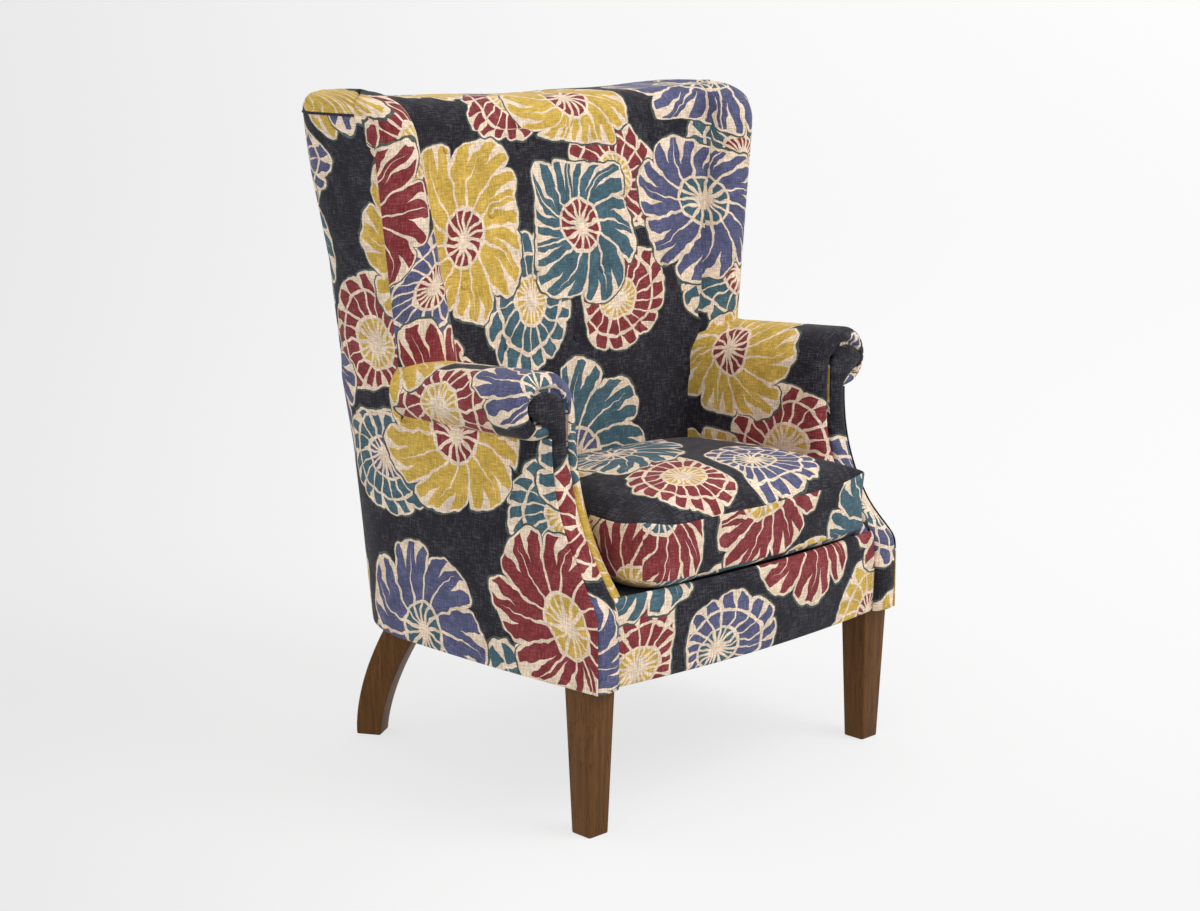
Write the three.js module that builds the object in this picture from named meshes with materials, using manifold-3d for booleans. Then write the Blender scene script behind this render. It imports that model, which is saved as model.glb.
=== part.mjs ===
// Wingback armchair: a fully covered easy chair with shallow wings, scroll arms
// that sweep back in an S, a shallow-buttoned back and a loose seat cushion.
// Millimetres, +Z up. The chair faces -Y; "left" and "right" are the sitter's.

import * as THREE from 'three';
import { mergeVertices } from 'three/addons/utils/BufferGeometryUtils.js';
import Module from 'manifold-3d';

const wasm = await Module();
wasm.setup();

// Driving dimensions

const seam = 0.3;             // gap left between two pieces that touch
const overrun = 40;           // how far a cutting solid runs past what it cuts

const body = {
  bottom: 216,                // underside of the covered body, on its legs
  top: 1026,                  // highest line of back and wings
  frontHalf: 331,             // outside cover at the front, low down
  frontTaper: 11,             // how far it draws in by the underside of the arm roll
  rearSplay: 19,              // how much wider the body is at the rear
  frontY: -24,                // front of the arms below the sweep
  backY: 587,                 // flat of the outside back
  cornerLow: 212,             // plan radius of the rear corners at the bottom
  cornerHigh: 88,             // the same from the shoulders up
  cornerStop: 166,            // how far below the top the corners stop tightening
  cover: 3,                   // cloth with its lining and tacking strip
  capRound: 23,               // rounding over the top, above the seam of the cap
};
const capSeam = body.top - body.capRound;
const rearHalf = body.frontHalf + body.rearSplay;
const frontHalfHigh = body.frontHalf - body.frontTaper;

const rail = { depth: 89, thick: 25, lift: 6, cornerThick: 80, cornerClear: 1 };

const frontLeg = { inset: 9, setBack: 24, foot: 37, top: 51 };

const rearLeg = {
  footInset: 100, footBack: 3,  // middle of the foot, from the body's side and back
  foot: 40, top: 62,
  turn: 32,                   // degrees that the leg is turned out from straight back
  sweep: 87, sweepPower: 1.72,
};

const spigot = { radius: 6, length: 45, clearance: 0.3, insetShare: 0.3 };

const sweep = {               // the S of the arm fronts
  start: 335,                 // the front is upright below this height
  end: 575,
  back: 104,                  // how far the arm front goes back by the top
  power: 2.5,                 // how soon the curve flattens
};

const seatTop = 341;          // top of the seat deck and of the front border
const web = { count: 4, wide: 50, thick: 2, pitch: 100, front: 4, rear: 574 };
const webTop = body.bottom + rail.lift + rail.depth + seam + web.thick;

const arm = {
  top: 662, rollRadius: 49,
  padWidth: 71, wallWidth: 47,  // from the outside to the padded face, and to the frame
  taper: 28,                  // how much the seat narrows towards the back, on each side
  shoulderDrop: 69,           // where the inner face starts to round over, below the top
  crestInset: 14,             // highest line of the arm, in from the middle of the roll
  swell: 4,                   // crown of the padded inner face
  rearDrop: 9,                // the arm falls this much towards the back
  bevel: 12,
  railOut: 21, railBelow: 23, railAbove: 5,  // the rail in the roll, from the roll's middle
};
arm.bottom = seatTop + seam;
arm.rollX = body.frontHalf;
arm.rollZ = arm.top - arm.rollRadius;
arm.innerFront = body.frontHalf - arm.padWidth;
arm.innerRear = arm.innerFront - arm.taper;
arm.padWall = body.frontHalf - arm.wallWidth;
arm.crestX = arm.rollX - arm.crestInset;
arm.lipX = arm.crestX;
arm.shoulderZ = arm.top - arm.shoulderDrop;

const armRail = {
  inner: arm.padWall + seam, outer: arm.rollX + arm.railOut,
  bottom: arm.rollZ - arm.railBelow, top: arm.rollZ + arm.railAbove,
};
const armPost = { thick: 30, deep: 46 };
const tackRail = { lift: 6, depth: 30, thick: 20 };

const facing = {
  depth: 9,
  draw: 3.3,                  // how much wider the board is along the S than at its foot
  drawLow: 345, drawHigh: 380,
  throat: 4, throatLow: 505, throatHigh: 553,
  headInset: 6, headDrop: 17, headRadius: 37,  // the scroll's head, from the middle of the roll
  headEnd: 22,                // degrees at which the head turns back to the neck
  neckDrop: 40,
};

const wing = {
  noseY: 368,                 // middle of the wing's rounded front edge
  lowZ: 629, highDrop: 39,    // heights of the next values: at the arm, and below the top
  lowOut: 4.6, highOut: 45.8, // how far the wing stands out beyond the body
  lowRadius: 50, highRadius: 35,
  frontCorner: 58,            // rounding of the top front corner, seen from the side
  postInner: 5, postOuter: 29, postFront: 350, postDeep: 46,
  railDepth: 33, railRear: 482,
  bottom: 600,
};
wing.lowX = rearHalf + wing.lowOut - wing.lowRadius;
wing.highX = rearHalf + wing.highOut - wing.highRadius;

const back = {
  lowY: 339, lowRake: 0.04,   // front of the inside back at the seat, and its lean there
  highRake: 0.14,             // lean added above the bend
  bendZ: 630, bendSoft: 60,
  rearLowY: 388, rearHighY: 462,
  crown: 12, crownWidth: 70,  // the pad falls back beside the arms
  topRound: 48,
  bottom: seatTop + seam,
};

const button = {
  pitchX: 72.6, belowArm: 18, belowTop: 80.8,  // lowest row under the arm's top, highest under the back's
  rows: 4, radius: 6.5, height: 5, dimple: 9, dimpleWidth: 17,
};
button.rowLow = arm.top - button.belowArm;
button.rowPitch = (body.top - button.belowTop - button.rowLow) / (button.rows - 1);

const upright = { lowInset: 88, highInset: 27, wide: 40, deep: 40 };
const backRail = { lift: 11, depth: 40, thick: 30 };

const border = { half: armRail.inner - seam, setBack: 8, bow: 20, thick: 8.5 };
border.endY = body.frontY + border.setBack;
const deck = { bottom: webTop + seam };
const dust = { bottom: body.bottom + seam, thick: 2, inset: 7, legGap: 2 };

const cushion = {
  lowLift: 15, box: 84, rearLift: 12,  // seams: the lower above the seat, and the upper above that
  crown: 60, crownRearShare: 0.55,
  underside: 9, overhang: 10, frontBow: 9,
  clearance: 2, drawIn: 7,
};
cushion.bottom = seatTop + seam;
cushion.seamLow = seatTop + cushion.lowLift;
cushion.seamHigh = cushion.seamLow + cushion.box;
cushion.seamHighRear = cushion.seamHigh + cushion.rearLift;
cushion.front = body.frontY - cushion.overhang;

// Small maths

const mix = (a, b, t) => a + (b - a) * t;
const clamp01 = (t) => Math.min(1, Math.max(0, t));
const ease = (t) => { const c = clamp01(t); return c * c * (3 - 2 * c); };
const radians = THREE.MathUtils.degToRad;
const steps = (count) => Array.from({ length: count + 1 }, (_, i) => i / count);

// Shared forms: every piece that meets another takes its edge from these

// Front of the arm at height z: upright, then a curve that flattens as it rises
function armFrontY(z) {
  const t = clamp01((z - sweep.start) / (sweep.end - sweep.start));
  return body.frontY + sweep.back * (1 - (1 - t) ** sweep.power);
}

// Front of the inside back at height z: nearly upright at the seat, leaning back above a soft bend
function backFrontY(z) {
  const past = z - back.bendZ;
  const ramp = (past + Math.hypot(past, back.bendSoft)) / 2;
  return back.lowY + back.lowRake * (z - back.bottom) + back.highRake * ramp;
}
const padRearY = (z) => mix(back.rearLowY, back.rearHighY, (z - back.bottom) / (capSeam - back.bottom));

// Middle and radius of the wing's rounded nose at height z
const wingShare = (z) => (z - wing.lowZ) / (body.top - wing.highDrop - wing.lowZ);
const noseX = (z) => mix(wing.lowX, wing.highX, wingShare(z));
const noseRadius = (z) => mix(wing.lowRadius, wing.highRadius, wingShare(z));
const wingInnerX = (z) => noseX(z) - noseRadius(z);

// The top front corner of a wing is rounded: its nose moves back over the last stretch
function noseLineY(z) {
  const rise = Math.max(0, z - (body.top - wing.frontCorner));
  return wing.noseY + wing.frontCorner - Math.sqrt(wing.frontCorner ** 2 - rise ** 2);
}

// Half width of the outside cover at height z, at the wings and below them
const outerHalf = (z) => z > wing.lowZ
  ? noseX(z) + noseRadius(z)
  : mix(rearHalf, wing.lowX + wing.lowRadius, (z - body.bottom) / (wing.lowZ - body.bottom));
const underRoll = arm.rollZ - arm.rollRadius - arm.rearDrop - seam;
const cornerStart = body.top - wing.frontCorner;
const capLevels = steps(4).map((t) => mix(cornerStart, capSeam, t));
const frontHalfAt = (z) => mix(body.frontHalf, frontHalfHigh,
  clamp01((z - sweep.start) / (underRoll - sweep.start)));

// Half width of the outside cover at any place on the side, bowed out from front to wing
function sideX(y, z) {
  const towardsWing = clamp01((y - body.frontY) / (wing.noseY - body.frontY));
  return mix(frontHalfAt(z), outerHalf(z), Math.sin(towardsWing * Math.PI / 2));
}

// Plan radius of the rear corner at height z, larger low down
const cornerRadius = (z) => mix(body.cornerLow, body.cornerHigh,
  clamp01((z - body.bottom) / (body.top - body.cornerStop - body.bottom)));

// A point of the rear corner, with the angle counted from the side towards the back
function cornerPoint(angle, z, inset) {
  const r = cornerRadius(z);
  return [
    outerHalf(z) - r + (r - inset) * Math.cos(angle),
    body.backY - r + (r - inset) * Math.sin(angle),
    z,
  ];
}

const armInnerX = (share) => mix(arm.innerFront, arm.innerRear, share);
const borderY = (x) => border.endY - border.bow * (1 - (x / border.half) ** 2);

// Mesh building

// Turns points and triangles into a closed geometry whose faces point out
function closed(points, faces) {
  let volume = 0;
  const [a, b, c] = [new THREE.Vector3(), new THREE.Vector3(), new THREE.Vector3()];
  for (const [i, j, k] of faces) {
    volume += a.fromArray(points[i]).dot(b.fromArray(points[j]).cross(c.fromArray(points[k])));
  }
  const index = faces.flatMap(([i, j, k]) => (volume < 0 ? [i, k, j] : [i, j, k]));
  const geometry = new THREE.BufferGeometry();
  geometry.setAttribute('position', new THREE.Float32BufferAttribute(points.flat(), 3));
  geometry.setIndex(index);
  return geometry;
}

// Joins rings of points into a body, with both ends closed by the flat outline given
function loft(givenRings, givenOutline) {
  const flatGiven = givenOutline.map(([u, v]) => new THREE.Vector2(u, v));
  const backwards = THREE.ShapeUtils.isClockWise(flatGiven);
  const ordered = (list) => (backwards ? list.slice().reverse() : list);
  const rings = givenRings.map(ordered);
  const flat = ordered(flatGiven);
  const count = flat.length;
  const faces = [];
  for (let r = 0; r + 1 < rings.length; r += 1) {
    for (let i = 0; i < count; i += 1) {
      const j = (i + 1) % count;
      const [p, q] = [r * count, (r + 1) * count];
      faces.push([p + i, p + j, q + j], [p + i, q + j, q + i]);
    }
  }
  const last = (rings.length - 1) * count;
  for (const [i, j, k] of THREE.ShapeUtils.triangulateShape(flat, [])) {
    faces.push([k, j, i], [last + i, last + j, last + k]);
  }
  return closed(rings.flat(), faces);
}

// A sheet with thickness: two grids of points, and which of its cells are there
function slab(outerGrid, innerGrid, filled = () => true) {
  const [rows, cols] = [outerGrid.length, outerGrid[0].length];
  const points = [...outerGrid.flat(), ...innerGrid.flat()];
  const at = (r, c) => r * cols + c;
  const under = rows * cols;
  const has = (r, c) => r >= 0 && c >= 0 && r < rows - 1 && c < cols - 1 && filled(r, c);
  const faces = [];
  const wall = (i, j) => faces.push([i, j, j + under], [i, j + under, i + under]);
  for (let r = 0; r < rows - 1; r += 1) {
    for (let c = 0; c < cols - 1; c += 1) {
      if (!has(r, c)) continue;
      const [p, q, s, t] = [at(r, c), at(r, c + 1), at(r + 1, c + 1), at(r + 1, c)];
      faces.push([p, q, s], [p, s, t]);
      faces.push([p + under, s + under, q + under], [p + under, t + under, s + under]);
      if (!has(r - 1, c)) wall(q, p);
      if (!has(r + 1, c)) wall(t, s);
      if (!has(r, c - 1)) wall(p, t);
      if (!has(r, c + 1)) wall(s, q);
    }
  }
  return closed(points, faces);
}

const solid = (geometry) => {
  const bare = geometry.clone();
  bare.deleteAttribute('normal');
  bare.deleteAttribute('uv');
  const merged = mergeVertices(bare);
  return new wasm.Manifold(new wasm.Mesh({
    numProp: 3,
    vertProperties: Float32Array.from(merged.attributes.position.array),
    triVerts: Uint32Array.from(merged.index.array),
  }));
};

const geometryOf = (manifold) => {
  const mesh = manifold.getMesh();
  const geometry = new THREE.BufferGeometry();
  geometry.setAttribute('position', new THREE.Float32BufferAttribute(mesh.vertProperties, 3));
  geometry.setIndex(Array.from(mesh.triVerts));
  return geometry;
};

const cut = (geometry, ...tools) => geometryOf(
  tools.reduce((left, tool) => left.subtract(solid(tool)), solid(geometry)));
const join = (geometry, other) => geometryOf(solid(geometry).add(solid(other)));

// The same piece on the other side of the chair
function mirrored(geometry) {
  const copy = geometry.clone();
  copy.scale(-1, 1, 1);
  const index = Array.from(copy.index ? copy.index.array : steps(copy.attributes.position.count - 1)
    .map((_, i) => i));
  for (let i = 0; i < index.length; i += 3) [index[i + 1], index[i + 2]] = [index[i + 2], index[i + 1]];
  copy.setIndex(index);
  return copy;
}

// A straight bar from one rectangle to another; each end is [x0, x1, y0, y1, z]
function bar(low, high) {
  const ring = ([x0, x1, y0, y1, z]) => [[x0, y0, z], [x1, y0, z], [x1, y1, z], [x0, y1, z]];
  return loft([ring(low), ring(high)], ring(low));
}

// A flat plan outline raised from one height to another
function raised(outline, bottom, top, holes = []) {
  const shape = new THREE.Shape(outline.map(([x, y]) => new THREE.Vector2(x, y)));
  shape.holes = holes.map((hole) => new THREE.Path(hole.map(([x, y]) => new THREE.Vector2(x, y))));
  const geometry = new THREE.ExtrudeGeometry(shape, { depth: top - bottom, bevelEnabled: false });
  geometry.translate(0, 0, bottom);
  return geometry;
}

const circle = (x, y, radius, sides) => steps(sides).slice(1).map((t) => [
  x + radius * Math.cos(t * Math.PI * 2), y + radius * Math.sin(t * Math.PI * 2)]);

function peg(x, y, bottom, radius, length) {
  const sides = 16;
  return raised(circle(x, y, radius, sides), bottom, bottom + length);
}

// Materials

const stainedOak = new THREE.MeshStandardMaterial({ color: 0x6a4a2c, roughness: 0.55 });
const beech = new THREE.MeshStandardMaterial({ color: 0xc8a87c, roughness: 0.7 });
const printedLinen = new THREE.MeshStandardMaterial({ color: 0x7d7577, roughness: 0.9 });
const plainLinen = new THREE.MeshStandardMaterial({ color: 0x2b2a32, roughness: 0.9 });
const webbing = new THREE.MeshStandardMaterial({ color: 0xb59a6b, roughness: 0.9 });
const blackCambric = new THREE.MeshStandardMaterial({ color: 0x1c1b1d, roughness: 0.95 });

const chair = new THREE.Group();

function piece(name, geometry, material) {
  const plain = geometry.clone();
  plain.deleteAttribute('normal');
  plain.deleteAttribute('uv');
  const merged = mergeVertices(plain);
  merged.computeVertexNormals();
  const mesh = new THREE.Mesh(merged, material);
  mesh.name = name;
  chair.add(mesh);
}

function pair(name, geometry, material) {
  piece(`${name}_left`, geometry, material);
  piece(`${name}_right`, mirrored(geometry), material);
}

const railBottom = body.bottom + rail.lift;
const railTop = railBottom + rail.depth;
const legTop = railBottom - seam;
const coverInner = body.cover + seam;

// Legs

const frontLegX = body.frontHalf - frontLeg.inset - frontLeg.foot / 2;
const frontLegY = body.frontY + frontLeg.setBack + frontLeg.foot / 2;
const rearFootX = rearHalf - rearLeg.footInset;
const rearFootY = body.backY - rearLeg.footBack;
const blockInset = frontLeg.top * spigot.insetShare;

function square(x, y, side, turn, z) {
  const h = side / 2;
  const [c, s] = [Math.cos(turn), Math.sin(turn)];
  return [[-h, -h], [h, -h], [h, h], [-h, h]].map(([u, v]) => [x + u * c - v * s, y + u * s + v * c, z]);
}

// Rear leg: a square section carried up a curve that leans forward as it rises
function rearLegRing(share, grow = 0) {
  const turn = radians(-rearLeg.turn);
  const lean = rearLeg.sweep * share ** rearLeg.sweepPower;
  const x = rearFootX - lean * Math.sin(-turn);
  const y = rearFootY - lean * Math.cos(turn);
  return square(x, y, mix(rearLeg.foot, rearLeg.top, share) + grow, turn, legTop * share);
}
const rearTop = rearLegRing(1);
const rearLegX = (rearTop[0][0] + rearTop[2][0]) / 2;
const rearLegY = (rearTop[0][1] + rearTop[2][1]) / 2;

const frontPegX = frontLegX - blockInset;
const frontPegY = frontLegY + blockInset;

function makeLegs() {
  const foot = square(frontLegX, frontLegY, frontLeg.foot, 0, 0);
  const head = square(frontLegX, frontLegY, frontLeg.top, 0, legTop);
  const taper = loft([foot, head], foot);
  const frontPeg = peg(frontPegX, frontPegY, legTop - seam, spigot.radius, spigot.length);
  pair('front_leg', join(taper, frontPeg), stainedOak);

  const legSteps = 12;
  const rings = steps(legSteps).map((t) => rearLegRing(t));
  const rearPeg = peg(rearLegX, rearLegY, legTop - seam, spigot.radius, spigot.length);
  pair('rear_leg', join(loft(rings, rings[0]), rearPeg), stainedOak);
}

// Seat frame

const sideRailInner = body.frontHalf - coverInner - rail.thick;
const cornerX = rearHalf - body.cornerLow;
const cornerY = body.backY - body.cornerLow;

// Plan of a piece behind the bowed front; its rear follows the bow or runs straight
function bowed(half, offset, thick, rearBow) {
  const count = 10;
  const front = steps(count).map((t) => mix(-half, half, t)).map((x) => [x, borderY(x) + offset]);
  const straight = [[half, front[count][1] + thick], [-half, front[0][1] + thick]];
  const rear = rearBow ? front.map(([x, y]) => [x, y + thick]).reverse() : straight;
  return [...front, ...rear];
}

function makeSeatFrame() {
  const frontRailOffset = border.thick + seam;
  const frontRailHalf = sideRailInner - seam;
  const railFront = borderY(frontRailHalf) + frontRailOffset;
  const frontRailRear = railFront + rail.thick;
  piece('front_seat_rail', raised(
    bowed(frontRailHalf, frontRailOffset, rail.thick, false), railBottom, railTop), beech);

  const railStart = body.frontY + facing.depth + seam;
  const railEnd = cornerY - seam;
  const splay = rearHalf - body.frontHalf;
  const side = [[sideRailInner, railStart], [sideRailInner + rail.thick, railStart],
    [sideRailInner + rail.thick + splay, railEnd], [sideRailInner + splay, railEnd]];
  pair('side_seat_rail', raised(side, railBottom, railTop), beech);

  const rimOuter = body.cornerLow - coverInner - rail.cornerClear;
  const arc = (radius, from, to) => steps(10).map((t) => mix(from, to, t)).map((a) => [
    cornerX + radius * Math.cos(a), cornerY + radius * Math.sin(a)]);
  const rim = [...arc(rimOuter, 0, Math.PI / 2), ...arc(rimOuter - rail.cornerThick, Math.PI / 2, 0)];
  const socket = circle(rearLegX, rearLegY, spigot.radius + spigot.clearance, 16);
  pair('rear_corner_rail', raised(rim, railBottom, railTop, [socket]), beech);

  const backRailRear = body.backY - coverInner;
  const backRailHalf = cornerX - seam;
  const backTop = [-backRailHalf, backRailHalf, backRailRear - rail.thick, backRailRear, railTop];
  piece('back_seat_rail', bar([...backTop.slice(0, 4), railBottom], backTop), beech);

  const blockX = frontRailHalf;
  const blockY = frontRailRear + seam;
  const blockLeg = Math.max(blockX - frontPegX, frontPegY - blockY) + frontLeg.top;
  const block = [[blockX, blockY], [blockX, blockY + blockLeg], [blockX - rail.thick / 2, blockY + blockLeg],
    [blockX - blockLeg, blockY + rail.thick / 2], [blockX - blockLeg, blockY]];
  const frontSocket = circle(frontPegX, frontPegY, spigot.radius + spigot.clearance, 16);
  pair('front_corner_block', raised(block, railBottom, railTop, [frontSocket]), beech);

  for (let i = 0; i < web.count; i += 1) {
    const x = (i - (web.count - 1) / 2) * web.pitch;
    const strap = [x - web.wide / 2, x + web.wide / 2, web.front, web.rear];
    piece(`seat_web_${i + 1}`, bar([...strap, railTop + seam], [...strap, webTop]), webbing);
  }
}

// Arm, wing and back frame

function makeUpperFrame() {
  const postInner = armRail.inner;
  const postOuter = postInner + armPost.thick;
  const postSteps = 14;
  const postFront = facing.depth + seam;
  const postRings = steps(postSteps).map((t) => {
    const z = mix(railTop + seam, armRail.bottom - seam, t);
    const [front, rear] = [armFrontY(z), armFrontY(z) + postFront + armPost.deep];
    return [[postInner, front, z], [postOuter, front, z], [postOuter, rear, z], [postInner, rear, z]];
  });
  pair('front_arm_post', cut(loft(postRings, postRings[0]), sweptLayer(null, postFront)), beech);

  const railFront = armFrontY(armRail.bottom) + facing.depth + seam;
  const railEnds = (z) => [armRail.inner, armRail.outer, railFront, padRearY(z), z];
  pair('arm_rail', cut(bar(railEnds(armRail.bottom), railEnds(armRail.top)), outerRear()), beech);

  const tackBottom = seatTop + tackRail.lift;
  const tackTop = tackBottom + tackRail.depth;
  const tackFront = armFrontY(tackTop) + facing.depth + armPost.deep + seam * 2;
  const tackEnds = (z) => [arm.padWall + seam, arm.padWall + seam + tackRail.thick, tackFront, padRearY(z), z];
  pair('arm_tack_rail', bar(tackEnds(tackBottom), tackEnds(tackTop)), beech);

  const wingBar = (z, front, rear) => [noseX(z) + wing.postInner, noseX(z) + wing.postOuter, front, rear, z];
  const wingRailBottom = capSeam - seam - wing.railDepth;
  const postRear = wing.postFront + wing.postDeep;
  pair('wing_post', bar(
    wingBar(armRail.top + seam, wing.postFront, postRear),
    wingBar(wingRailBottom - seam, wing.postFront, postRear)), beech);
  pair('wing_top_rail', bar(
    wingBar(wingRailBottom, wing.postFront, wing.railRear),
    wingBar(capSeam - seam, wing.postFront, wing.railRear)), beech);

  const uprightBottom = railTop + seam;
  const uprightTop = capSeam - seam;
  const uprightX = (z) => rearHalf - mix(upright.lowInset, upright.highInset,
    (z - uprightBottom) / (uprightTop - uprightBottom));
  const uprightAt = (z) => [uprightX(z), uprightX(z) + upright.wide,
    padRearY(z) + seam, padRearY(z) + seam + upright.deep, z];
  pair('back_upright', bar(uprightAt(uprightBottom), uprightAt(uprightTop)), beech);

  const across = (z) => [-uprightX(z) + seam, uprightX(z) - seam,
    padRearY(z) + seam, padRearY(z) + seam + backRail.thick, z];
  const lowRail = seatTop + backRail.lift;
  piece('back_lower_rail', bar(across(lowRail), across(lowRail + backRail.depth)), beech);
  piece('back_top_rail', bar(across(uprightTop - backRail.depth), across(uprightTop)), beech);
}

// Arms

// Outside of the arm's section: up the inner face, over the top and round the roll
function armOutline(share, inset, rollTurn = Math.PI) {
  const innerX = armInnerX(share) + inset;
  const drop = arm.rearDrop * share;
  const top = arm.top - drop - inset;
  const shoulderZ = arm.shoulderZ - drop;
  const face = steps(8).map((t) => [
    innerX - arm.swell * Math.sin(t * Math.PI), mix(arm.bottom, shoulderZ, t)]);
  const shoulder = steps(5).slice(1).map((t) => [
    innerX + (arm.crestX - innerX) * (1 - Math.cos(t * Math.PI / 2)),
    shoulderZ + (top - shoulderZ) * Math.sin(t * Math.PI / 2)]);
  const radius = arm.rollRadius - inset;
  const roll = steps(12).map((t) => Math.PI / 2 - t * rollTurn).map((a) => [
    arm.rollX + radius * Math.cos(a), arm.rollZ - drop + radius * Math.sin(a)]);
  return [...face, ...shoulder, ...roll];
}

// The padded arm wraps its rail like a C, open below and behind
function armSection(share, inset) {
  const inner = arm.padWall;
  const cavity = [
    [arm.lipX, arm.rollZ - arm.rearDrop * share - arm.rollRadius + inset],
    [arm.lipX, armRail.bottom - seam],
    [armRail.outer + seam, armRail.bottom - seam],
    [armRail.outer + seam, armRail.top + seam],
    [inner, armRail.top + seam],
    [inner, arm.bottom],
  ];
  return [...armOutline(share, inset), ...cavity];
}

// Stations along the arm: share 0 follows the swept front, share 1 the raked back
function armRings(section, stations, insets, frontGap) {
  return stations.map((share, i) => section(share, insets[i]).map(([x, z]) => {
    const front = armFrontY(z) + frontGap;
    return [x, mix(front, padRearY(z), share), z];
  }));
}

const armLength = padRearY(arm.shoulderZ) - armFrontY(arm.shoulderZ);

// The arm's whole outer form, closed below, grown by a gap: what the back and wings meet
function armEnvelope(grow) {
  const past = 1 + overrun / armLength;
  const section = (share, inset) => [...armOutline(share, inset, Math.PI / 2),
    [arm.rollX + arm.rollRadius - inset, arm.bottom - overrun],
    [armInnerX(share) + inset, arm.bottom - overrun]];
  const rings = armRings(section, [0, past], [-grow, -grow], -grow);
  return loft(rings, section(0, -grow));
}

// Space outside the cover behind the front of the wings
function outerRear() {
  const plan = (z) => [outerHalf(z) - coverInner, arm.rollX + arm.rollRadius + overrun,
    wing.noseY - seam, body.backY + overrun, z];
  return bar(plan(body.bottom), plan(armRail.top + seam));
}

// Space kept for the wing's frame and the outside cover beside and behind it
function wingCore(bottom, top) {
  const plan = (z) => {
    const x = noseX(z);
    const front = wing.postFront - seam;
    const outerEnd = noseLineY(Math.min(z, capSeam)) - seam;
    const far = outerHalf(z) + overrun;
    const rear = body.backY + overrun;
    return [
      [x + wing.postInner - seam, front, z], [x + wing.postOuter + seam, front, z],
      [x + wing.postOuter + seam, outerEnd, z], [far, outerEnd, z], [far, rear, z],
      [wingInnerX(z) - overrun, rear, z], [wingInnerX(z) - overrun, padRearY(z), z],
      [x + wing.postInner - seam, padRearY(z), z],
    ];
  };
  const rings = [bottom, ...capLevels.filter((z) => z < top), top].map(plan);
  return loft(rings, rings[0]);
}

// Everything outside the inner side of a wing
function wingSide(gap) {
  const plan = (z) => [wingInnerX(z) - gap, body.frontHalf * 2, -body.backY, body.backY * 2, z];
  return bar(plan(wing.bottom), plan(body.top + overrun));
}

// Everything in front of the swept arm front, or a layer of it with a thickness
function sweptLayer(front, rear) {
  const levels = [body.bottom - overrun, ...steps(24).map((t) => mix(sweep.start, sweep.end, t)), body.top];
  const rings = levels.map((z) => {
    const y = armFrontY(z);
    const start = front === null ? -body.backY : y + front;
    const far = body.frontHalf * 2;
    return [[0, start, z], [far, start, z], [far, y + rear, z], [0, y + rear, z]];
  });
  return loft(rings, rings[0]);
}

// Outline of the facing board from in front: a strip that widens into the scroll's comma-shaped head
function facingOutline() {
  const f = facing;
  const outerAt = (z) => frontHalfAt(z) - coverInner;
  const foot = armRail.inner;
  const inner = [[foot, body.bottom], [foot, f.drawLow],
    ...steps(4).slice(1).map((t) => [foot - f.draw * ease(t), mix(f.drawLow, f.drawHigh, t)]),
    [foot - f.draw, f.throatLow], [foot + f.throat, f.throatHigh]];
  const outer = [arm.rollZ - f.neckDrop, sweep.start, body.bottom].map((z) => [outerAt(z), z]);
  const head = steps(14).map((t) => mix(Math.PI, radians(f.headEnd), t)).map((a) => [
    arm.rollX - f.headInset + f.headRadius * Math.cos(a), arm.rollZ - f.headDrop + f.headRadius * Math.sin(a)]);
  return [...inner, ...head, ...outer];
}

function makeArms() {
  const bevel = arm.bevel / armLength;
  const stations = [-bevel, 0, bevel * 0.3, bevel, 0.5, 1];
  const insets = [arm.bevel, arm.bevel, arm.bevel * 0.3, 0, 0, 0];
  const front = facing.depth + seam;
  const rings = armRings(armSection, stations, insets, front);
  const pad = loft(rings, armSection(0, arm.bevel));
  pair('arm_pad', cut(pad, wingCore(armRail.top + seam / 2, body.top), outerRear(), sweptLayer(null, front)),
    printedLinen);

  const outline = facingOutline();
  const straight = (y) => outline.map(([x, z]) => [x, y, z]);
  const board = loft([straight(-body.backY), straight(body.backY)], outline);
  pair('arm_facing', geometryOf(solid(board).intersect(solid(sweptLayer(0, facing.depth)))), printedLinen);
}

// Wings

// Plan of a wing with the back corner behind it, drawn in at the top for the roll
function wingPlan(z) {
  const over = Math.max(0, z - capSeam);
  const inset = body.capRound - Math.sqrt(body.capRound ** 2 - over ** 2);
  const r = noseRadius(z) - inset;
  const noseY = noseLineY(z);
  const nose = steps(12).map((t) => Math.PI + t * Math.PI).map((a) => [
    noseX(z) + r * Math.cos(a), noseY + r * Math.sin(a), z]);
  const radius = body.cornerHigh;
  const centreX = outerHalf(z) - radius;
  const innerX = wingInnerX(z);
  const turn = Math.acos(clamp01((innerX - centreX) / (radius - inset)));
  const corner = steps(6).map((t) => t * turn).map((a) => [
    centreX + (radius - inset) * Math.cos(a), body.backY - radius + (radius - inset) * Math.sin(a), z]);
  return [...nose, ...corner, [innerX, noseY + noseRadius(z), z]];
}

function makeWings() {
  const capShares = [0, 0.35, 0.62, 0.82, 0.95];
  const levels = [wing.bottom, ...capLevels.slice(0, -1), ...capShares.map((t) => mix(capSeam, body.top, t))];
  const rings = levels.map(wingPlan);
  const band = loft(rings, rings[0]);
  const core = wingCore(wing.bottom - overrun, capSeam);
  pair('wing_pad', cut(band, armEnvelope(seam), core), printedLinen);
}

// Inside back

const buttonRows = Array.from({ length: button.rows }, (_, row) => {
  const columns = row % 2 ? [-3, -1, 1, 3] : [-2, 0, 2];
  return columns.map((c) => [c * button.pitchX, button.rowLow + row * button.rowPitch]);
});
const buttonSpots = buttonRows.flat();

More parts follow.
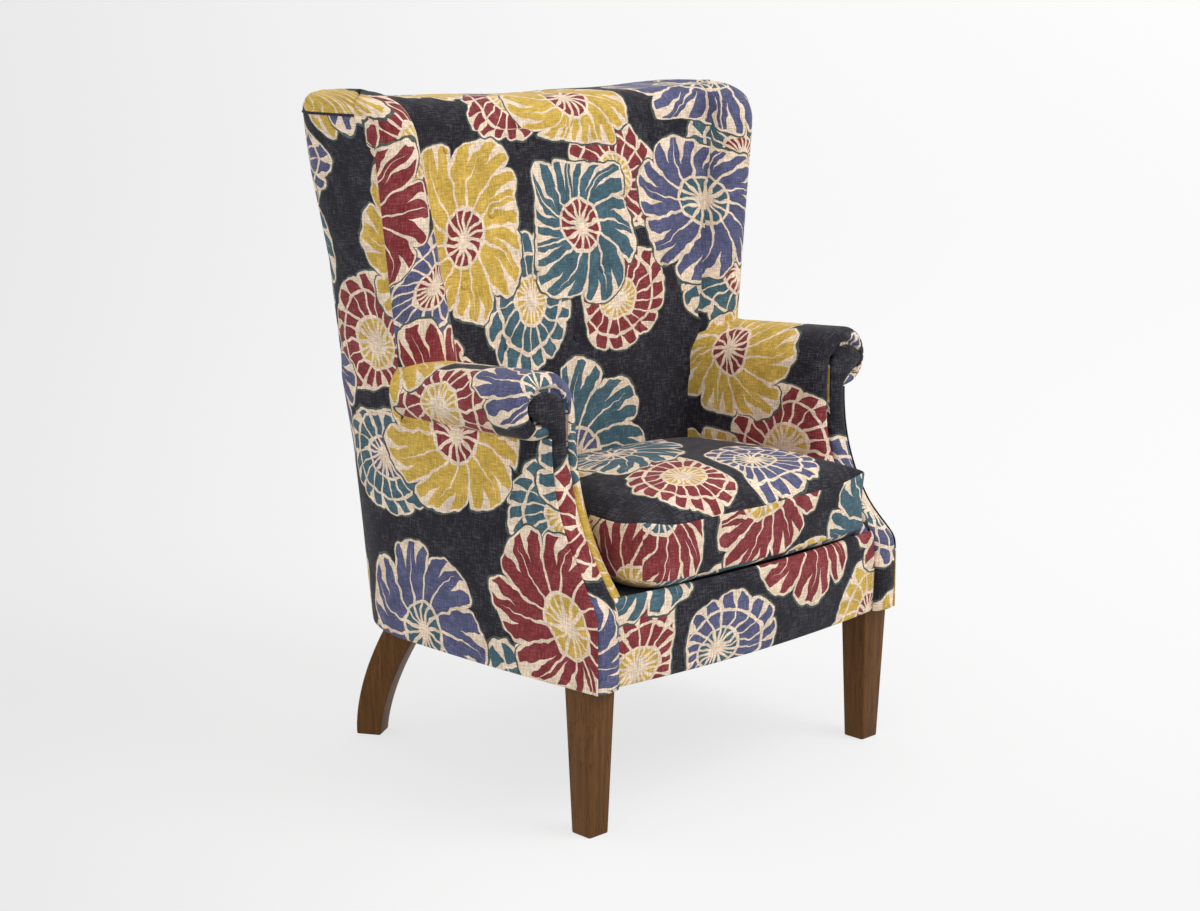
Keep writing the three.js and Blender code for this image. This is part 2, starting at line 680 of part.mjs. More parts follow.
function insideBackY(x, z) {
  const lowDown = 1 - ease((z - arm.shoulderZ) / back.crownWidth);
  const fall = back.crown * ease((Math.abs(x) - (arm.innerRear - back.crownWidth)) / back.crownWidth) * lowDown;
  const dimple = buttonSpots.reduce((sum, [bx, bz]) => {
    const d2 = ((x - bx) ** 2 + (z - bz) ** 2) / button.dimpleWidth ** 2;
    return sum + button.dimple * Math.exp(-d2);
  }, 0);
  return backFrontY(z) + fall + dimple;
}

function makeInsideBack() {
  const topStart = body.top - back.topRound;
  const firstRow = button.rowLow - button.rowPitch / 2;
  const lastRow = body.top - button.belowTop + button.rowPitch / 4;
  const rowsLow = steps(5).slice(0, -1).map((t) => mix(back.bottom, firstRow, t));
  const rowsHigh = steps(15).map((t) => mix(firstRow, lastRow, t));
  const faceRows = [...rowsLow, ...rowsHigh, topStart];
  const rear = body.backY;
  const rearRound = body.capRound;
  const profile = (x) => {
    const face = faceRows.map((z) => [insideBackY(x, z), z]);
    const startY = backFrontY(topStart);
    const over = steps(5).slice(1).map((t) => [
      startY + back.topRound * (1 - Math.cos(t * Math.PI / 2)),
      topStart + back.topRound * Math.sin(t * Math.PI / 2)]);
    const behind = steps(4).map((t) => [
      rear - rearRound + rearRound * Math.sin(t * Math.PI / 2),
      body.top - rearRound * (1 - Math.cos(t * Math.PI / 2))]);
    return [...face, ...over, ...behind,
      [padRearY(capSeam), capSeam], [padRearY(back.bottom), back.bottom]];
  };
  const column = button.pitchX / 2;
  const outermost = wingInnerX(body.top) + overrun;
  const stations = [-outermost, -column * 7, ...steps(12).map((t) => mix(-column * 6, column * 6, t)),
    column * 7, outermost];
  const rings = stations.map((x) => profile(x).map(([y, z]) => [x, y, z]));
  const pad = loft(rings, profile(outermost));
  const arms = armEnvelope(seam);
  const wings = wingSide(seam);
  piece('inside_back', cut(pad, arms, mirrored(arms), wings, mirrored(wings)), printedLinen);

  const near = button.rowPitch / 4;
  buttonSpots.forEach(([x, z], i) => {
    const rake = (backFrontY(z + near) - backFrontY(z - near)) / (near * 2);
    const dome = [[0, 0], [button.radius * 0.5, button.height * 0.26], [button.radius, button.height * 0.52],
      [button.radius * 0.72, button.height * 0.86], [0, button.height]];
    const geometry = new THREE.LatheGeometry(dome.map(([r, h]) => new THREE.Vector2(r, h)), 12);
    geometry.rotateX(Math.PI - Math.atan(rake));
    geometry.translate(x, insideBackY(x, z) - seam, z);
    piece(`back_button_${i + 1}`, geometry, printedLinen);
  });
}

// Outside covers

function makeOutsideCovers() {
  const low = [body.bottom, ...steps(9).map((t) => mix(sweep.start, underRoll, t))];
  const high = [...steps(4).slice(0, -1).map((t) => mix(wing.lowZ, cornerStart, t)),
    ...capLevels.slice(0, -1), capSeam - seam];
  const levels = [...low, ...high];
  const frontCells = 5;
  const rearCells = 3;
  const arcCells = 5;
  const sideSeam = radians(52);
  const armTopY = body.frontY + sweep.back;
  // Under the roll the panel's rows rise towards the front with the arm
  const raisedZ = (z, y) => {
    const share = clamp01((z - sweep.start) / (underRoll - sweep.start));
    return z + arm.rearDrop * share * (1 - clamp01((y - armTopY) / (wing.noseY - armTopY)));
  };
  const at = (z, inset) => {
    const arcStart = body.backY - cornerRadius(z);
    const wingY = noseLineY(z);
    const front = steps(frontCells).slice(0, -1).map((t) => mix(armFrontY(raisedZ(z, body.frontY)), wingY, t));
    const rear = steps(rearCells).slice(0, -1).map((t) => mix(wingY, arcStart, t));
    const forward = front.map((y) => [y, raisedZ(z, y)]).map(([y, high]) => [sideX(y, high) - inset, y, high]);
    const straight = [...forward, ...rear.map((y) => [sideX(y, z) - inset, y, z])];
    return [...straight, ...steps(arcCells).map((t) => cornerPoint(t * sideSeam, z, inset))];
  };
  const filled = (r, c) => r < low.length - 1 || c >= frontCells;
  pair('outside_side', slab(levels.map((z) => at(z, 0)), levels.map((z) => at(z, body.cover)), filled), printedLinen);

  const seamAngle = (z) => sideSeam + seam / (cornerRadius(z) - body.cover);
  const backArc = (z, inset) => steps(4).map((t) => cornerPoint(mix(seamAngle(z), Math.PI / 2, t), z, inset));
  const across = (z, inset) => {
    const half = backArc(z, inset);
    return [...half, ...half.slice().reverse().map(([x, y, h]) => [-x, y, h])];
  };
  piece('outside_back', slab(
    levels.map((z) => across(z, 0)), levels.map((z) => across(z, body.cover))), printedLinen);

  piece('front_border', raised(bowed(border.half, 0, border.thick, true), body.bottom, seatTop), printedLinen);
}

// Seat

function makeSeat() {
  const deckHalf = border.half;
  const front = steps(10).map((t) => mix(-deckHalf, deckHalf, t)).map((x) => [
    x, Math.max(borderY(x), borderY(deckHalf)) + border.thick + seam]);
  const plan = [...front, [deckHalf, padRearY(deck.bottom)], [-deckHalf, padRearY(deck.bottom)]];
  piece('seat_deck', raised(plan, deck.bottom, seatTop), plainLinen);

  const half = steps(8).map((t) => cornerPoint(t * Math.PI / 2, body.bottom, dust.inset)).map(([x, y]) => [x, y]);
  const right = [[body.frontHalf - dust.inset, border.endY + border.thick + seam], ...half];
  const sheet = [...right, ...right.slice().reverse().map(([x, y]) => [-x, y])];
  const frontHole = square(frontLegX, frontLegY, frontLeg.top + dust.legGap * 2, 0, 0);
  const rearHole = rearLegRing(dust.bottom / legTop, dust.legGap * 2);
  const holes = [frontHole, rearHole].map((ring) => raised(ring, dust.bottom - overrun, dust.bottom + overrun));
  piece('dust_cover', cut(raised(sheet, dust.bottom, dust.bottom + dust.thick),
    ...holes, ...holes.map(mirrored)), blackCambric);
}

// Loose cushion: a boxed pillow, level below, crowned above, its sides drawn in
function makeCushion() {
  const c = cushion;
  const halfAt = (y) => {
    const share = clamp01((y - armFrontY(c.seamLow)) / (padRearY(c.seamHigh) - armFrontY(c.seamLow)));
    return armInnerX(share) - arm.swell - c.clearance;
  };
  const around = 48;
  const rearAt = (z) => backFrontY(z) - c.clearance;
  // Outline seen from above at height z, a rounded rectangle drawn towards its middle by a share
  const ring = (share, heightAt) => steps(around).slice(1).map((t) => {
    const a = t * Math.PI * 2;
    const corner = 0.16;
    const u = Math.sign(Math.cos(a)) * Math.abs(Math.cos(a)) ** corner;
    const v = Math.sign(Math.sin(a)) * Math.abs(Math.sin(a)) ** corner;
    const z = heightAt((v + 1) / 2);
    const rear = rearAt(Math.min(z, c.seamHighRear));
    const middle = (c.front + rearAt(c.bottom)) / 2;
    const y = mix(c.front, rear, (v + 1) / 2) - Math.max(0, -v) * c.frontBow * (1 - u * u);
    return [u * halfAt(y) * share, middle + (y - middle) * share, z];
  });
  const level = (z) => () => z;
  const seamTop = (depth) => mix(c.seamHigh, c.seamHighRear, depth);
  const waist = 1 - c.drawIn / arm.innerFront;
  const crowned = (share) => (depth) => seamTop(depth) + c.crown * (1 - share ** 2.5) ** 0.75
    * mix(1, c.crownRearShare, depth);
  const layers = [
    ring(0.3, level(c.bottom)),
    ring(0.9, level(c.bottom)),
    ring(waist, level(c.bottom + c.underside / 2)),
    ring(1, level(c.seamLow)),
    ring((1 + waist) / 2, (depth) => mix(c.seamLow, seamTop(depth), 0.5)),
    ring(1, seamTop),
    ...[0.93, 0.8, 0.6, 0.35, 0.1].map((share) => ring(share, crowned(share))),
  ];
  piece('seat_cushion', loft(layers, layers[0]), printedLinen);
}

makeLegs();
makeSeatFrame();
makeUpperFrame();
makeArms();
makeWings();
makeInsideBack();
makeOutsideCovers();
makeSeat();
makeCushion();

// The origin is on the floor under the middle of the chair
const box = new THREE.Box3().setFromObject(chair);
chair.position.y = -(box.min.y + box.max.y) / 2;
chair.updateMatrixWorld(true);

export default chair;
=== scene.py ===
# Wingback armchair: the cloth, pads, cushion, legs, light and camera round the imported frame.
# Shapes are worked out in millimetres in the chair's own plan, then put in metres in the frame's place.
import math

import bmesh
import bpy
import numpy as np
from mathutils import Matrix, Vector


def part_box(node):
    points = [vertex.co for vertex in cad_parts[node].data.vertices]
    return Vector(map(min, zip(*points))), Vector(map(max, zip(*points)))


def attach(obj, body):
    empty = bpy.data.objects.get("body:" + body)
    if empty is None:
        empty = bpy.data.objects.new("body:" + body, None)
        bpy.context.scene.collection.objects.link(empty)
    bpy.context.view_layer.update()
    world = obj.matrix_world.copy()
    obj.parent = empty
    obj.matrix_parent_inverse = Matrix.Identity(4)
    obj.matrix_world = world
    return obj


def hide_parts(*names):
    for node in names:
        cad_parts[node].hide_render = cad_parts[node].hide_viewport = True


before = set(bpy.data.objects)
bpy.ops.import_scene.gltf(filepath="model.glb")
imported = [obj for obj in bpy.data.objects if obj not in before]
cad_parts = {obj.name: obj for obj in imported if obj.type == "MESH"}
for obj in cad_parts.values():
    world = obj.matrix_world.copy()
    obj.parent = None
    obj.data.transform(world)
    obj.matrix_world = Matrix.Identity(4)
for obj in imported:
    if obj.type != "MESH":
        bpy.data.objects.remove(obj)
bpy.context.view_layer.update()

frontLegFace = -7.0  # front of the front legs in the chair's plan, mm
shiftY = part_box("front_leg_left")[0].y * 1000 - frontLegFace


# Small helpers

def mix(a, b, t):
    return a + (b - a) * t


def ease(t):  # slow start and stop between 0 and 1
    c = np.clip(t, 0, 1)
    return c * c * (3 - 2 * c)


def hexColour(code):  # sRGB hex to linear
    parts = [int(code[i:i + 2], 16) / 255 for i in (0, 2, 4)]
    return [c / 12.92 if c <= 0.04045 else ((c + 0.055) / 1.055) ** 2.4 for c in parts] + [1.0]


def addNode(tree, kind, inputs=(), **settings):  # a node with its settings, values and links
    node = tree.nodes.new("ShaderNode" + kind)
    for key, value in settings.items():
        setattr(node, key, value)
    pairs = inputs.items() if isinstance(inputs, dict) else enumerate(inputs)
    for key, value in pairs:
        if isinstance(value, bpy.types.Node):
            value = value.outputs[0]
        if isinstance(value, bpy.types.NodeSocket):
            tree.links.new(value, node.inputs[key])
        else:
            node.inputs[key].default_value = value
    return node


def newMaterial(name):
    material = bpy.data.materials.new(name)
    material.use_nodes = True
    tree = material.node_tree
    return material, tree, tree.nodes["Principled BSDF"]


def setSurface(tree, shader, colour, height, bump, values):
    # colour and bump go in by links, with the bump's strength and depth; the rest stands on the sockets
    lumps = addNode(tree, "Bump", {"Height": height, "Strength": bump[0], "Distance": bump[1]})
    tree.links.new(colour, shader.inputs["Base Color"])
    tree.links.new(lumps.outputs[0], shader.inputs["Normal"])
    for name, value in values.items():
        shader.inputs[name].default_value = value


# The chair's shared lines, mm

body = {
    "bottom": 216, "top": 1026, "seatTop": 341.3,
    "frontHalf": 331, "frontHalfHigh": 320, "narrowLead": 10, "narrowOver": 70, "rearHalf": 350,
    "frontY": -24, "backY": 587, "padRearLow": 388, "padRearHigh": 462, "capSeam": 1003, "capRound": 23,
    "cornerHeights": (216, 500, 600, 780, 910, 950), "cornerRadii": (212, 157, 121, 121, 91, 88),
}
capCorner = body["cornerRadii"][-1]
sweep = {"start": 335, "end": 575, "back": 104, "power": 2.5, "soft": 10}
wing = {
    "noseY": 368, "lowX": 304.6, "lowZ": 629, "highX": 360.8, "highZ": 987,
    "lowRadius": 50, "highRadius": 35, "frontCorner": 58, "bottom": 590,
    "turnZ": 930, "turnBack": 40,
}
back = {"lowY": 339, "lowRake": 0.04, "highRake": 0.14, "bendZ": 630, "bendSoft": 60}
crease = {"low": 8, "high": 45, "fromZ": 600, "toZ": 720, "blend": 60, "armEdge": 237, "sink": 1.5,
          "into": 10}
cover = {"seamAngle": 52, "edge": 1.4, "slack": 0.7, "bottom": 219, "thick": 3, "rollGap": 1.5}
armRoll = {"z": 612.5, "x": 331, "radius": 48.5, "rearRadius": 42.5, "rearDrop": 12, "rearY": 430,
           "under": 554.7}
armTopY = body["frontY"] + sweep["back"]


def armFrontY(z):  # upright, then after a soft bend a curve that flattens as it rises
    past = z - sweep["start"]
    t = np.clip((past + np.hypot(past, sweep["soft"])) / 2 / (sweep["end"] - sweep["start"]), 0, 1)
    return body["frontY"] + sweep["back"] * (1 - (1 - t) ** sweep["power"])


def backFrontY(z):  # nearly upright at the seat, leaning back above a soft bend
    past = z - back["bendZ"]
    ramp = (past + np.hypot(past, back["bendSoft"])) / 2
    return back["lowY"] + back["lowRake"] * (z - body["seatTop"]) + back["highRake"] * ramp


def padRearY(z):  # a straight lean behind all the pads
    share = (z - body["seatTop"]) / (body["capSeam"] - body["seatTop"])
    return mix(body["padRearLow"], body["padRearHigh"], share)


def wingShare(z):
    return (z - wing["lowZ"]) / (wing["highZ"] - wing["lowZ"])


def noseX(z):
    return mix(wing["lowX"], wing["highX"], wingShare(z))


def noseRadius(z):
    return mix(wing["lowRadius"], wing["highRadius"], wingShare(z))


def wingInnerX(z):
    return noseX(z) - noseRadius(z)


def noseLineY(z):  # the top front corner of a wing is rounded, seen from the side
    rise = np.clip(z - (body["top"] - wing["frontCorner"]), 0, wing["frontCorner"])
    return wing["noseY"] + wing["frontCorner"] - np.sqrt(wing["frontCorner"] ** 2 - rise ** 2)


def creaseAt(z):
    # hollow curve in plan that touches the back's face and a wing's nose, or an arm below:
    # its radius, how far out it starts, and its angle
    radius = np.interp(z, [crease["fromZ"], crease["toZ"]], [crease["low"], crease["high"]])
    reach = radius + noseRadius(z) - crease["sink"]
    angle = np.arccos(np.clip((noseLineY(z) - backFrontY(z) + radius) / reach, 0, 0.95))
    start = noseX(z) - reach * np.sin(angle)
    share = ease((z - crease["fromZ"]) / crease["blend"])
    return radius, mix(crease["armEdge"] - radius, start, share), mix(np.pi / 2, angle, share)


def wingSeamY(z):  # front edge of the outside cover, turned back near the top
    turn = ease((z - wing["turnZ"]) / (body["capSeam"] - wing["turnZ"]))
    return np.maximum(wing["noseY"] + wing["turnBack"] * turn, noseLineY(z))


def outerHalf(z):  # half the width at the rear: straight up to the wing, then with its nose
    low = mix(body["rearHalf"], wing["lowX"] + wing["lowRadius"],
              (z - body["bottom"]) / (wing["lowZ"] - body["bottom"]))
    return np.where(z > wing["lowZ"], noseX(z) + noseRadius(z), low)


def rollShare(y):  # 0 at the arm's front, 1 where it ends in the wing
    return np.clip((y - armTopY) / (armRoll["rearY"] - armTopY), 0, 1)


def rollRadius(share):
    return mix(armRoll["radius"], armRoll["rearRadius"], share)


def frontHalfAt(z):  # the front narrows just above the border
    share = ease((z - sweep["start"] + body["narrowLead"]) / body["narrowOver"])
    return mix(body["frontHalf"], body["frontHalfHigh"], share)


def sideX(y, z):  # outside of the chair, bowed out from the swept front to the wing
    front = armFrontY(z)
    share = np.clip((y - front) / (wing["noseY"] - front), 0, 1)
    return mix(frontHalfAt(z), outerHalf(z), np.sin(share * np.pi / 2))


def cornerRadius(z):  # rear corners in plan, widest at the seat, even behind the arms, tighter at the top
    return np.interp(z, body["cornerHeights"], body["cornerRadii"])


# Meshes

def grid(*parts):  # coordinate arrays spread to one shape, side by side in a last axis
    return np.stack(np.broadcast_arrays(*parts), axis=-1)


def column(*parts):  # values set end to end, down a column
    return np.concatenate(parts)[:, None]


def joined(*parts):  # blocks of columns side by side, a single row spread to full height
    height = max(len(part) for part in parts)
    return np.concatenate([np.broadcast_to(part, (height, part.shape[1])) for part in parts], axis=1)


def shut(front, rear):  # a closed strip: the front line out and the rear line back
    return np.concatenate([front, rear[:, ::-1]], axis=1)


def withEnds(count, first, last=()):  # zeros with other values at the two ends
    values = np.zeros(count)
    values[:len(first)] = first
    values[count - len(last):] = last
    return values


def lengthsAlong(points, axis):  # distance walked along a row or column of a grid of points
    step = np.linalg.norm(np.diff(points, axis=axis), axis=-1)
    total = np.cumsum(step, axis=axis)
    first = np.zeros_like(np.take(total, [0], axis=axis))
    return np.concatenate([first, total], axis=axis)


def gridParts(points, uv, closed):
    # a grid of points as faces, its last column joined to the first if closed
    if closed:
        points = np.concatenate([points, points[:, :1]], axis=1)
        uv = np.concatenate([uv, uv[:, :1]], axis=1)
    rows, cols = points.shape[:2]
    index = np.arange(rows * cols).reshape(rows, cols)
    faces = [index[:-1, :-1], index[:-1, 1:], index[1:, 1:], index[1:, :-1]]
    return points.reshape(-1, 3), np.stack(faces, axis=-1).reshape(-1, 4), uv.reshape(-1, 2)


def capped(points, uv):  # both ends of a loft drawn in to the middle of the end ring
    low, high = [np.repeat(ends.mean(axis=1, keepdims=True), points.shape[1], axis=1)
                 for ends in (points[:1], points[-1:])]
    return np.concatenate([low, points, high]), np.concatenate([uv[:1], uv, uv[-1:]])


settle = {"armDown": 5, "armFromZ": 520, "armToZ": 720, "armToY": 370, "armFromX": 200,
          "cornerIn": 6, "cornerFromZ": 965, "cornerFromX": 335}


def settled(points):
    # the left arm has sunk a little, and the left wing's top corner leans in, each with soft ends
    s = settle
    x, y, z = points.T
    arm = ease((z - s["armFromZ"]) / 60) * ease((s["armToY"] - y) / 60) * ease((x - s["armFromX"]) / 40)
    arm = arm * (z < s["armToZ"])
    corner = np.clip((z - s["cornerFromZ"]) / 60, 0, 1) ** 1.3 * ease((x - s["cornerFromX"]) / 50)
    return grid(x - s["cornerIn"] * corner, y, z - s["armDown"] * arm)


def makePiece(name, parts, material, side=1, sharp=50):
    # grids in chair mm to one closed mesh in frame metres, its smooth shading broken above the sharp angle
    points = settled(np.concatenate([p for p, f, u in parts]) * [side, 1, 1])
    start = np.cumsum([0] + [len(p) for p, f, u in parts])
    faces = np.concatenate([f + s for (p, f, u), s in zip(parts, start)])
    uv = np.concatenate([u for p, f, u in parts]) / 1000
    world = (points + [0, shiftY, 0]) / 1000
    mesh = bpy.data.meshes.new(name)
    mesh.from_pydata(world.tolist(), [], faces.tolist())
    layer = mesh.uv_layers.new(name="cloth")
    corner = np.zeros(len(mesh.loops), np.int32)
    mesh.loops.foreach_get("vertex_index", corner)
    layer.data.foreach_set("uv", uv[corner].astype(np.float32).ravel())
    work = bmesh.new()
    work.from_mesh(mesh)
    bmesh.ops.remove_doubles(work, verts=work.verts, dist=2e-6)
    bmesh.ops.dissolve_degenerate(work, edges=work.edges, dist=2e-6)
    bmesh.ops.recalc_face_normals(work, faces=work.faces)
    work.to_mesh(mesh)
    work.free()
    mesh.shade_smooth()
    mesh.set_sharp_from_angle(angle=math.radians(sharp))
    mesh.materials.append(material)
    piece = bpy.data.objects.new(name, mesh)
    bpy.context.scene.collection.objects.link(piece)
    return piece


def onBody(piece, slotName, *nodes, bodyName="chair_body"):
    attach(piece, bodyName)
    if nodes:
        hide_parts(*nodes)


def makeLoft(name, rings, uv, material, slotName, *nodes, side=1, sharp=50):
    # closed rings with capped ends, as one piece on the chair's body
    part = gridParts(*capped(rings, uv), closed=True)
    piece = makePiece(name, [part], material, side, sharp)
    onBody(piece, slotName, *nodes)
    return piece


sides = {"left": 1, "right": -1}
clothAt = {  # where each piece is cut from the bolt of cloth, mm; by side where the two differ
    "back": (1740, 300), "outsideBack": (4100, 80), "border": (1140, 1260), "welt": (-800, 1676),
    "armPad": {1: (130, 420), -1: (20, 90)}, "facing": {1: (462, 2201), -1: (1354, 2167)},
    "side": {1: (4140, 1060), -1: (320, -100)},
    "cushion": (980, 1460), "cushionUnder": (980, 2060), "cushionBand": (1225, 1560),
}


def clothUv(place, u, v):
    return grid(u, v) + place


# Printed linen: plain-woven linen, block-printed in four inks on charcoal. Matte, with thick and thin
# threads that show through the ink, and hand-cut edges to every shape. Two layers of blooms, the upper
# one large and lobed, the lower one rounder, lie in cells of a loose grid. Sizes are in metres.

inks = {"ground": "232129", "cream": "e9d3bb", "outline": "4c5650",
        "teal": "44626e", "red": "833236", "violet": "555879", "mustard": "cca94c"}
blooms = {  # pitch of the cells, size, petals, teeth to a petal, lobes' depth, slenderness, ring at a share
    "upper": {"pitch": 0.285, "apart": 0.016, "scatter": 0.6, "shift": (0.31, 0.17, 0), "size": 0.145,
              "petals": 7, "teeth": 3.0, "lobe": 0.24, "slender": 0.3, "swirl": 0.55, "eye": 0.3,
              "band": 0.3, "inkShift": 0.0},
    "lower": {"pitch": 0.26, "apart": 0.014, "scatter": 0.8, "shift": (0.08, 0.23, 0), "size": 0.112,
              "petals": 9, "teeth": 2.0, "lobe": 0.1, "slender": 0.5, "swirl": -0.35, "eye": 0.36,
              "band": 0.7, "inkShift": 0.45},
}
hand = {"line": 0.0032, "rim": 0.0044, "petalGap": 0.0022, "rib": 0.0042, "ribEnd": 0.9, "ring": 0.003,
        "toothWide": 0.6, "toothTaper": -1.9, "lobePower": 2.4, "soften": 0.02, "bend": 0.05,
        "waver": 0.012}


def inkRamp(tree, value):
    ramp = addNode(tree, "ValToRGB", [value])
    ramp.color_ramp.interpolation = "CONSTANT"
    stops = ramp.color_ramp.elements
    stops.new(0.5)
    stops.new(0.75)
    for stop, place, name in zip(stops, (0, 0.3, 0.55, 0.78), ("teal", "red", "violet", "mustard")):
        stop.position = place
        stop.color = hexColour(inks[name])
    return ramp


def bloomLayer(tree, place, under, b):
    # one layer of blooms over the colour under it
    moved = addNode(tree, "VectorMath", [place, b["shift"]], operation="ADD")
    spread = {"Vector": moved, "Scale": 1 / b["pitch"], "Randomness": b["scatter"]}
    cell = addNode(tree, "TexVoronoi", spread, voronoi_dimensions="2D", feature="F1")
    border = addNode(tree, "TexVoronoi", spread, voronoi_dimensions="2D", feature="DISTANCE_TO_EDGE")
    chance = addNode(tree, "SeparateColor", [cell.outputs["Color"]]).outputs

    # Where a point lies in its bloom, turned by chance and made slender across
    local = addNode(tree, "VectorMath", [moved, cell.outputs["Position"]], operation="SUBTRACT")
    turn = addNode(tree, "Math", [chance[0], 6.28], operation="MULTIPLY")
    turned = addNode(tree, "VectorRotate", {"Vector": local, "Angle": turn}, rotation_type="Z_AXIS")
    spot = addNode(tree, "SeparateXYZ", [turned]).outputs
    slender = addNode(tree, "Math", [chance[1], b["slender"], 1.0], operation="MULTIPLY_ADD")
    across = addNode(tree, "Math", [spot[1], slender], operation="MULTIPLY")
    radius = addNode(tree, "VectorMath", [addNode(tree, "CombineXYZ", [spot[0], across])], operation="LENGTH")

    # The sums below have a name, an operation and values, where a word stands for an earlier sum.
    # Petals and teeth count round a slightly spiral angle; Off is 0 on a middle line and 1 between two.
    known = {"along": spot[0], "across": across, "radius": radius.outputs["Value"],
             "cellEdge": border.outputs["Distance"], "chance1": chance[0], "chance3": chance[2]}
    sums = [
        ("outness", "DIVIDE", "radius", b["size"]),
        ("heading", "ARCTAN2", "across", "along"),
        ("angle", "MULTIPLY_ADD", "outness", b["swirl"], "heading"),
        ("petalTurn", "MULTIPLY_ADD", "angle", b["petals"] / (2 * math.pi), 20.0),
        ("toothTurn", "MULTIPLY", "petalTurn", b["teeth"]),
    ]
    for kind in ("petal", "tooth"):
        sums += [
            (kind + "Part", "FRACT", kind + "Turn"),
            (kind + "Side", "SUBTRACT", kind + "Part", 0.5),
            (kind + "Way", "ABSOLUTE", kind + "Side"),
            (kind + "Off", "MULTIPLY", kind + "Way", 2.0),
            (kind + "In", "SUBTRACT", 1.0, kind + "Off"),
        ]
    sums += [
        # lobed outline, drawn in before the cell's edge
        ("dip", "POWER", "petalOff", hand["lobePower"]),
        ("fall", "SUBTRACT", 1.0, "dip"),
        ("bulge", "SQRT", "fall"),
        ("notch", "SUBTRACT", "bulge", 1.0),
        ("lobe", "MULTIPLY_ADD", "notch", b["lobe"], 1.0),
        ("reach", "MULTIPLY", "lobe", b["size"]),
        ("fromRim", "SUBTRACT", "reach", "radius"),
        ("fromEdge", "MULTIPLY_ADD", "cellEdge", b["pitch"], -b["apart"]),
        ("depth", "SMOOTH_MIN", "fromRim", "fromEdge", hand["soften"]),
        ("onLine", "GREATER_THAN", "depth", -hand["line"]),
        ("onCream", "GREATER_THAN", "depth", 0.0),
        # ink stands off the rim, the lines between petals, a tapering rib, the teeth and the two rings
        ("inked", "GREATER_THAN", "depth", hand["rim"]),
        ("halfPetal", "MULTIPLY", "radius", math.pi / b["petals"]),
        ("fromGap", "MULTIPLY", "petalIn", "halfPetal"),
        ("offGap", "GREATER_THAN", "fromGap", hand["petalGap"]),
        ("ribWide", "MULTIPLY_ADD", "outness", -hand["rib"], hand["rib"] * hand["ribEnd"]),
        ("fromRib", "MULTIPLY", "petalOff", "halfPetal"),
        ("offRib", "GREATER_THAN", "fromRib", "ribWide"),
        ("deepness", "DIVIDE", "depth", b["size"]),
        ("toothWide", "MULTIPLY_ADD", "deepness", hand["toothTaper"], hand["toothWide"]),
        ("tooth", "GREATER_THAN", "toothIn", "toothWide"),
        ("eyeSide", "SUBTRACT", "outness", b["eye"]),
        ("inEye", "LESS_THAN", "eyeSide", 0.0),
        ("offTooth", "MAXIMUM", "tooth", "inEye"),
        ("eyeWay", "ABSOLUTE", "eyeSide"),
        ("offEye", "GREATER_THAN", "eyeWay", hand["ring"] / b["size"]),
        ("bandSide", "SUBTRACT", "outness", b["band"]),
        ("bandWay", "ABSOLUTE", "bandSide"),
        ("offBand", "GREATER_THAN", "bandWay", hand["ring"] / b["size"]),
    ]
    for off in ("offGap", "offRib", "offTooth", "offEye", "offBand"):
        sums.append(("inked", "MULTIPLY", "inked", off))
    sums += [
        # one ink for the petals and another for the eye, by chance
        ("inkSum", "ADD", "chance3", b["inkShift"]),
        ("petalInk", "FRACT", "inkSum"),
        ("inkStep", "MULTIPLY_ADD", "chance1", 0.3, 0.3),
        ("eyeSum", "ADD", "petalInk", "inkStep"),
        ("eyeInk", "FRACT", "eyeSum"),
    ]
    for name, operation, *values in sums:
        values = [known[value] if isinstance(value, str) else value for value in values]
        known[name] = addNode(tree, "Math", values, operation=operation)

    petals, eye = inkRamp(tree, known["petalInk"]), inkRamp(tree, known["eyeInk"])
    ink = addNode(tree, "Mix", {0: known["inEye"], 6: petals, 7: eye}, data_type="RGBA").outputs[2]
    colour = under
    for mask, over in (("onLine", hexColour(inks["outline"])), ("onCream", hexColour(inks["cream"])),
                       ("inked", ink)):
        colour = addNode(tree, "Mix", {0: known[mask], 6: colour, 7: over}, data_type="RGBA").outputs[2]
    return colour


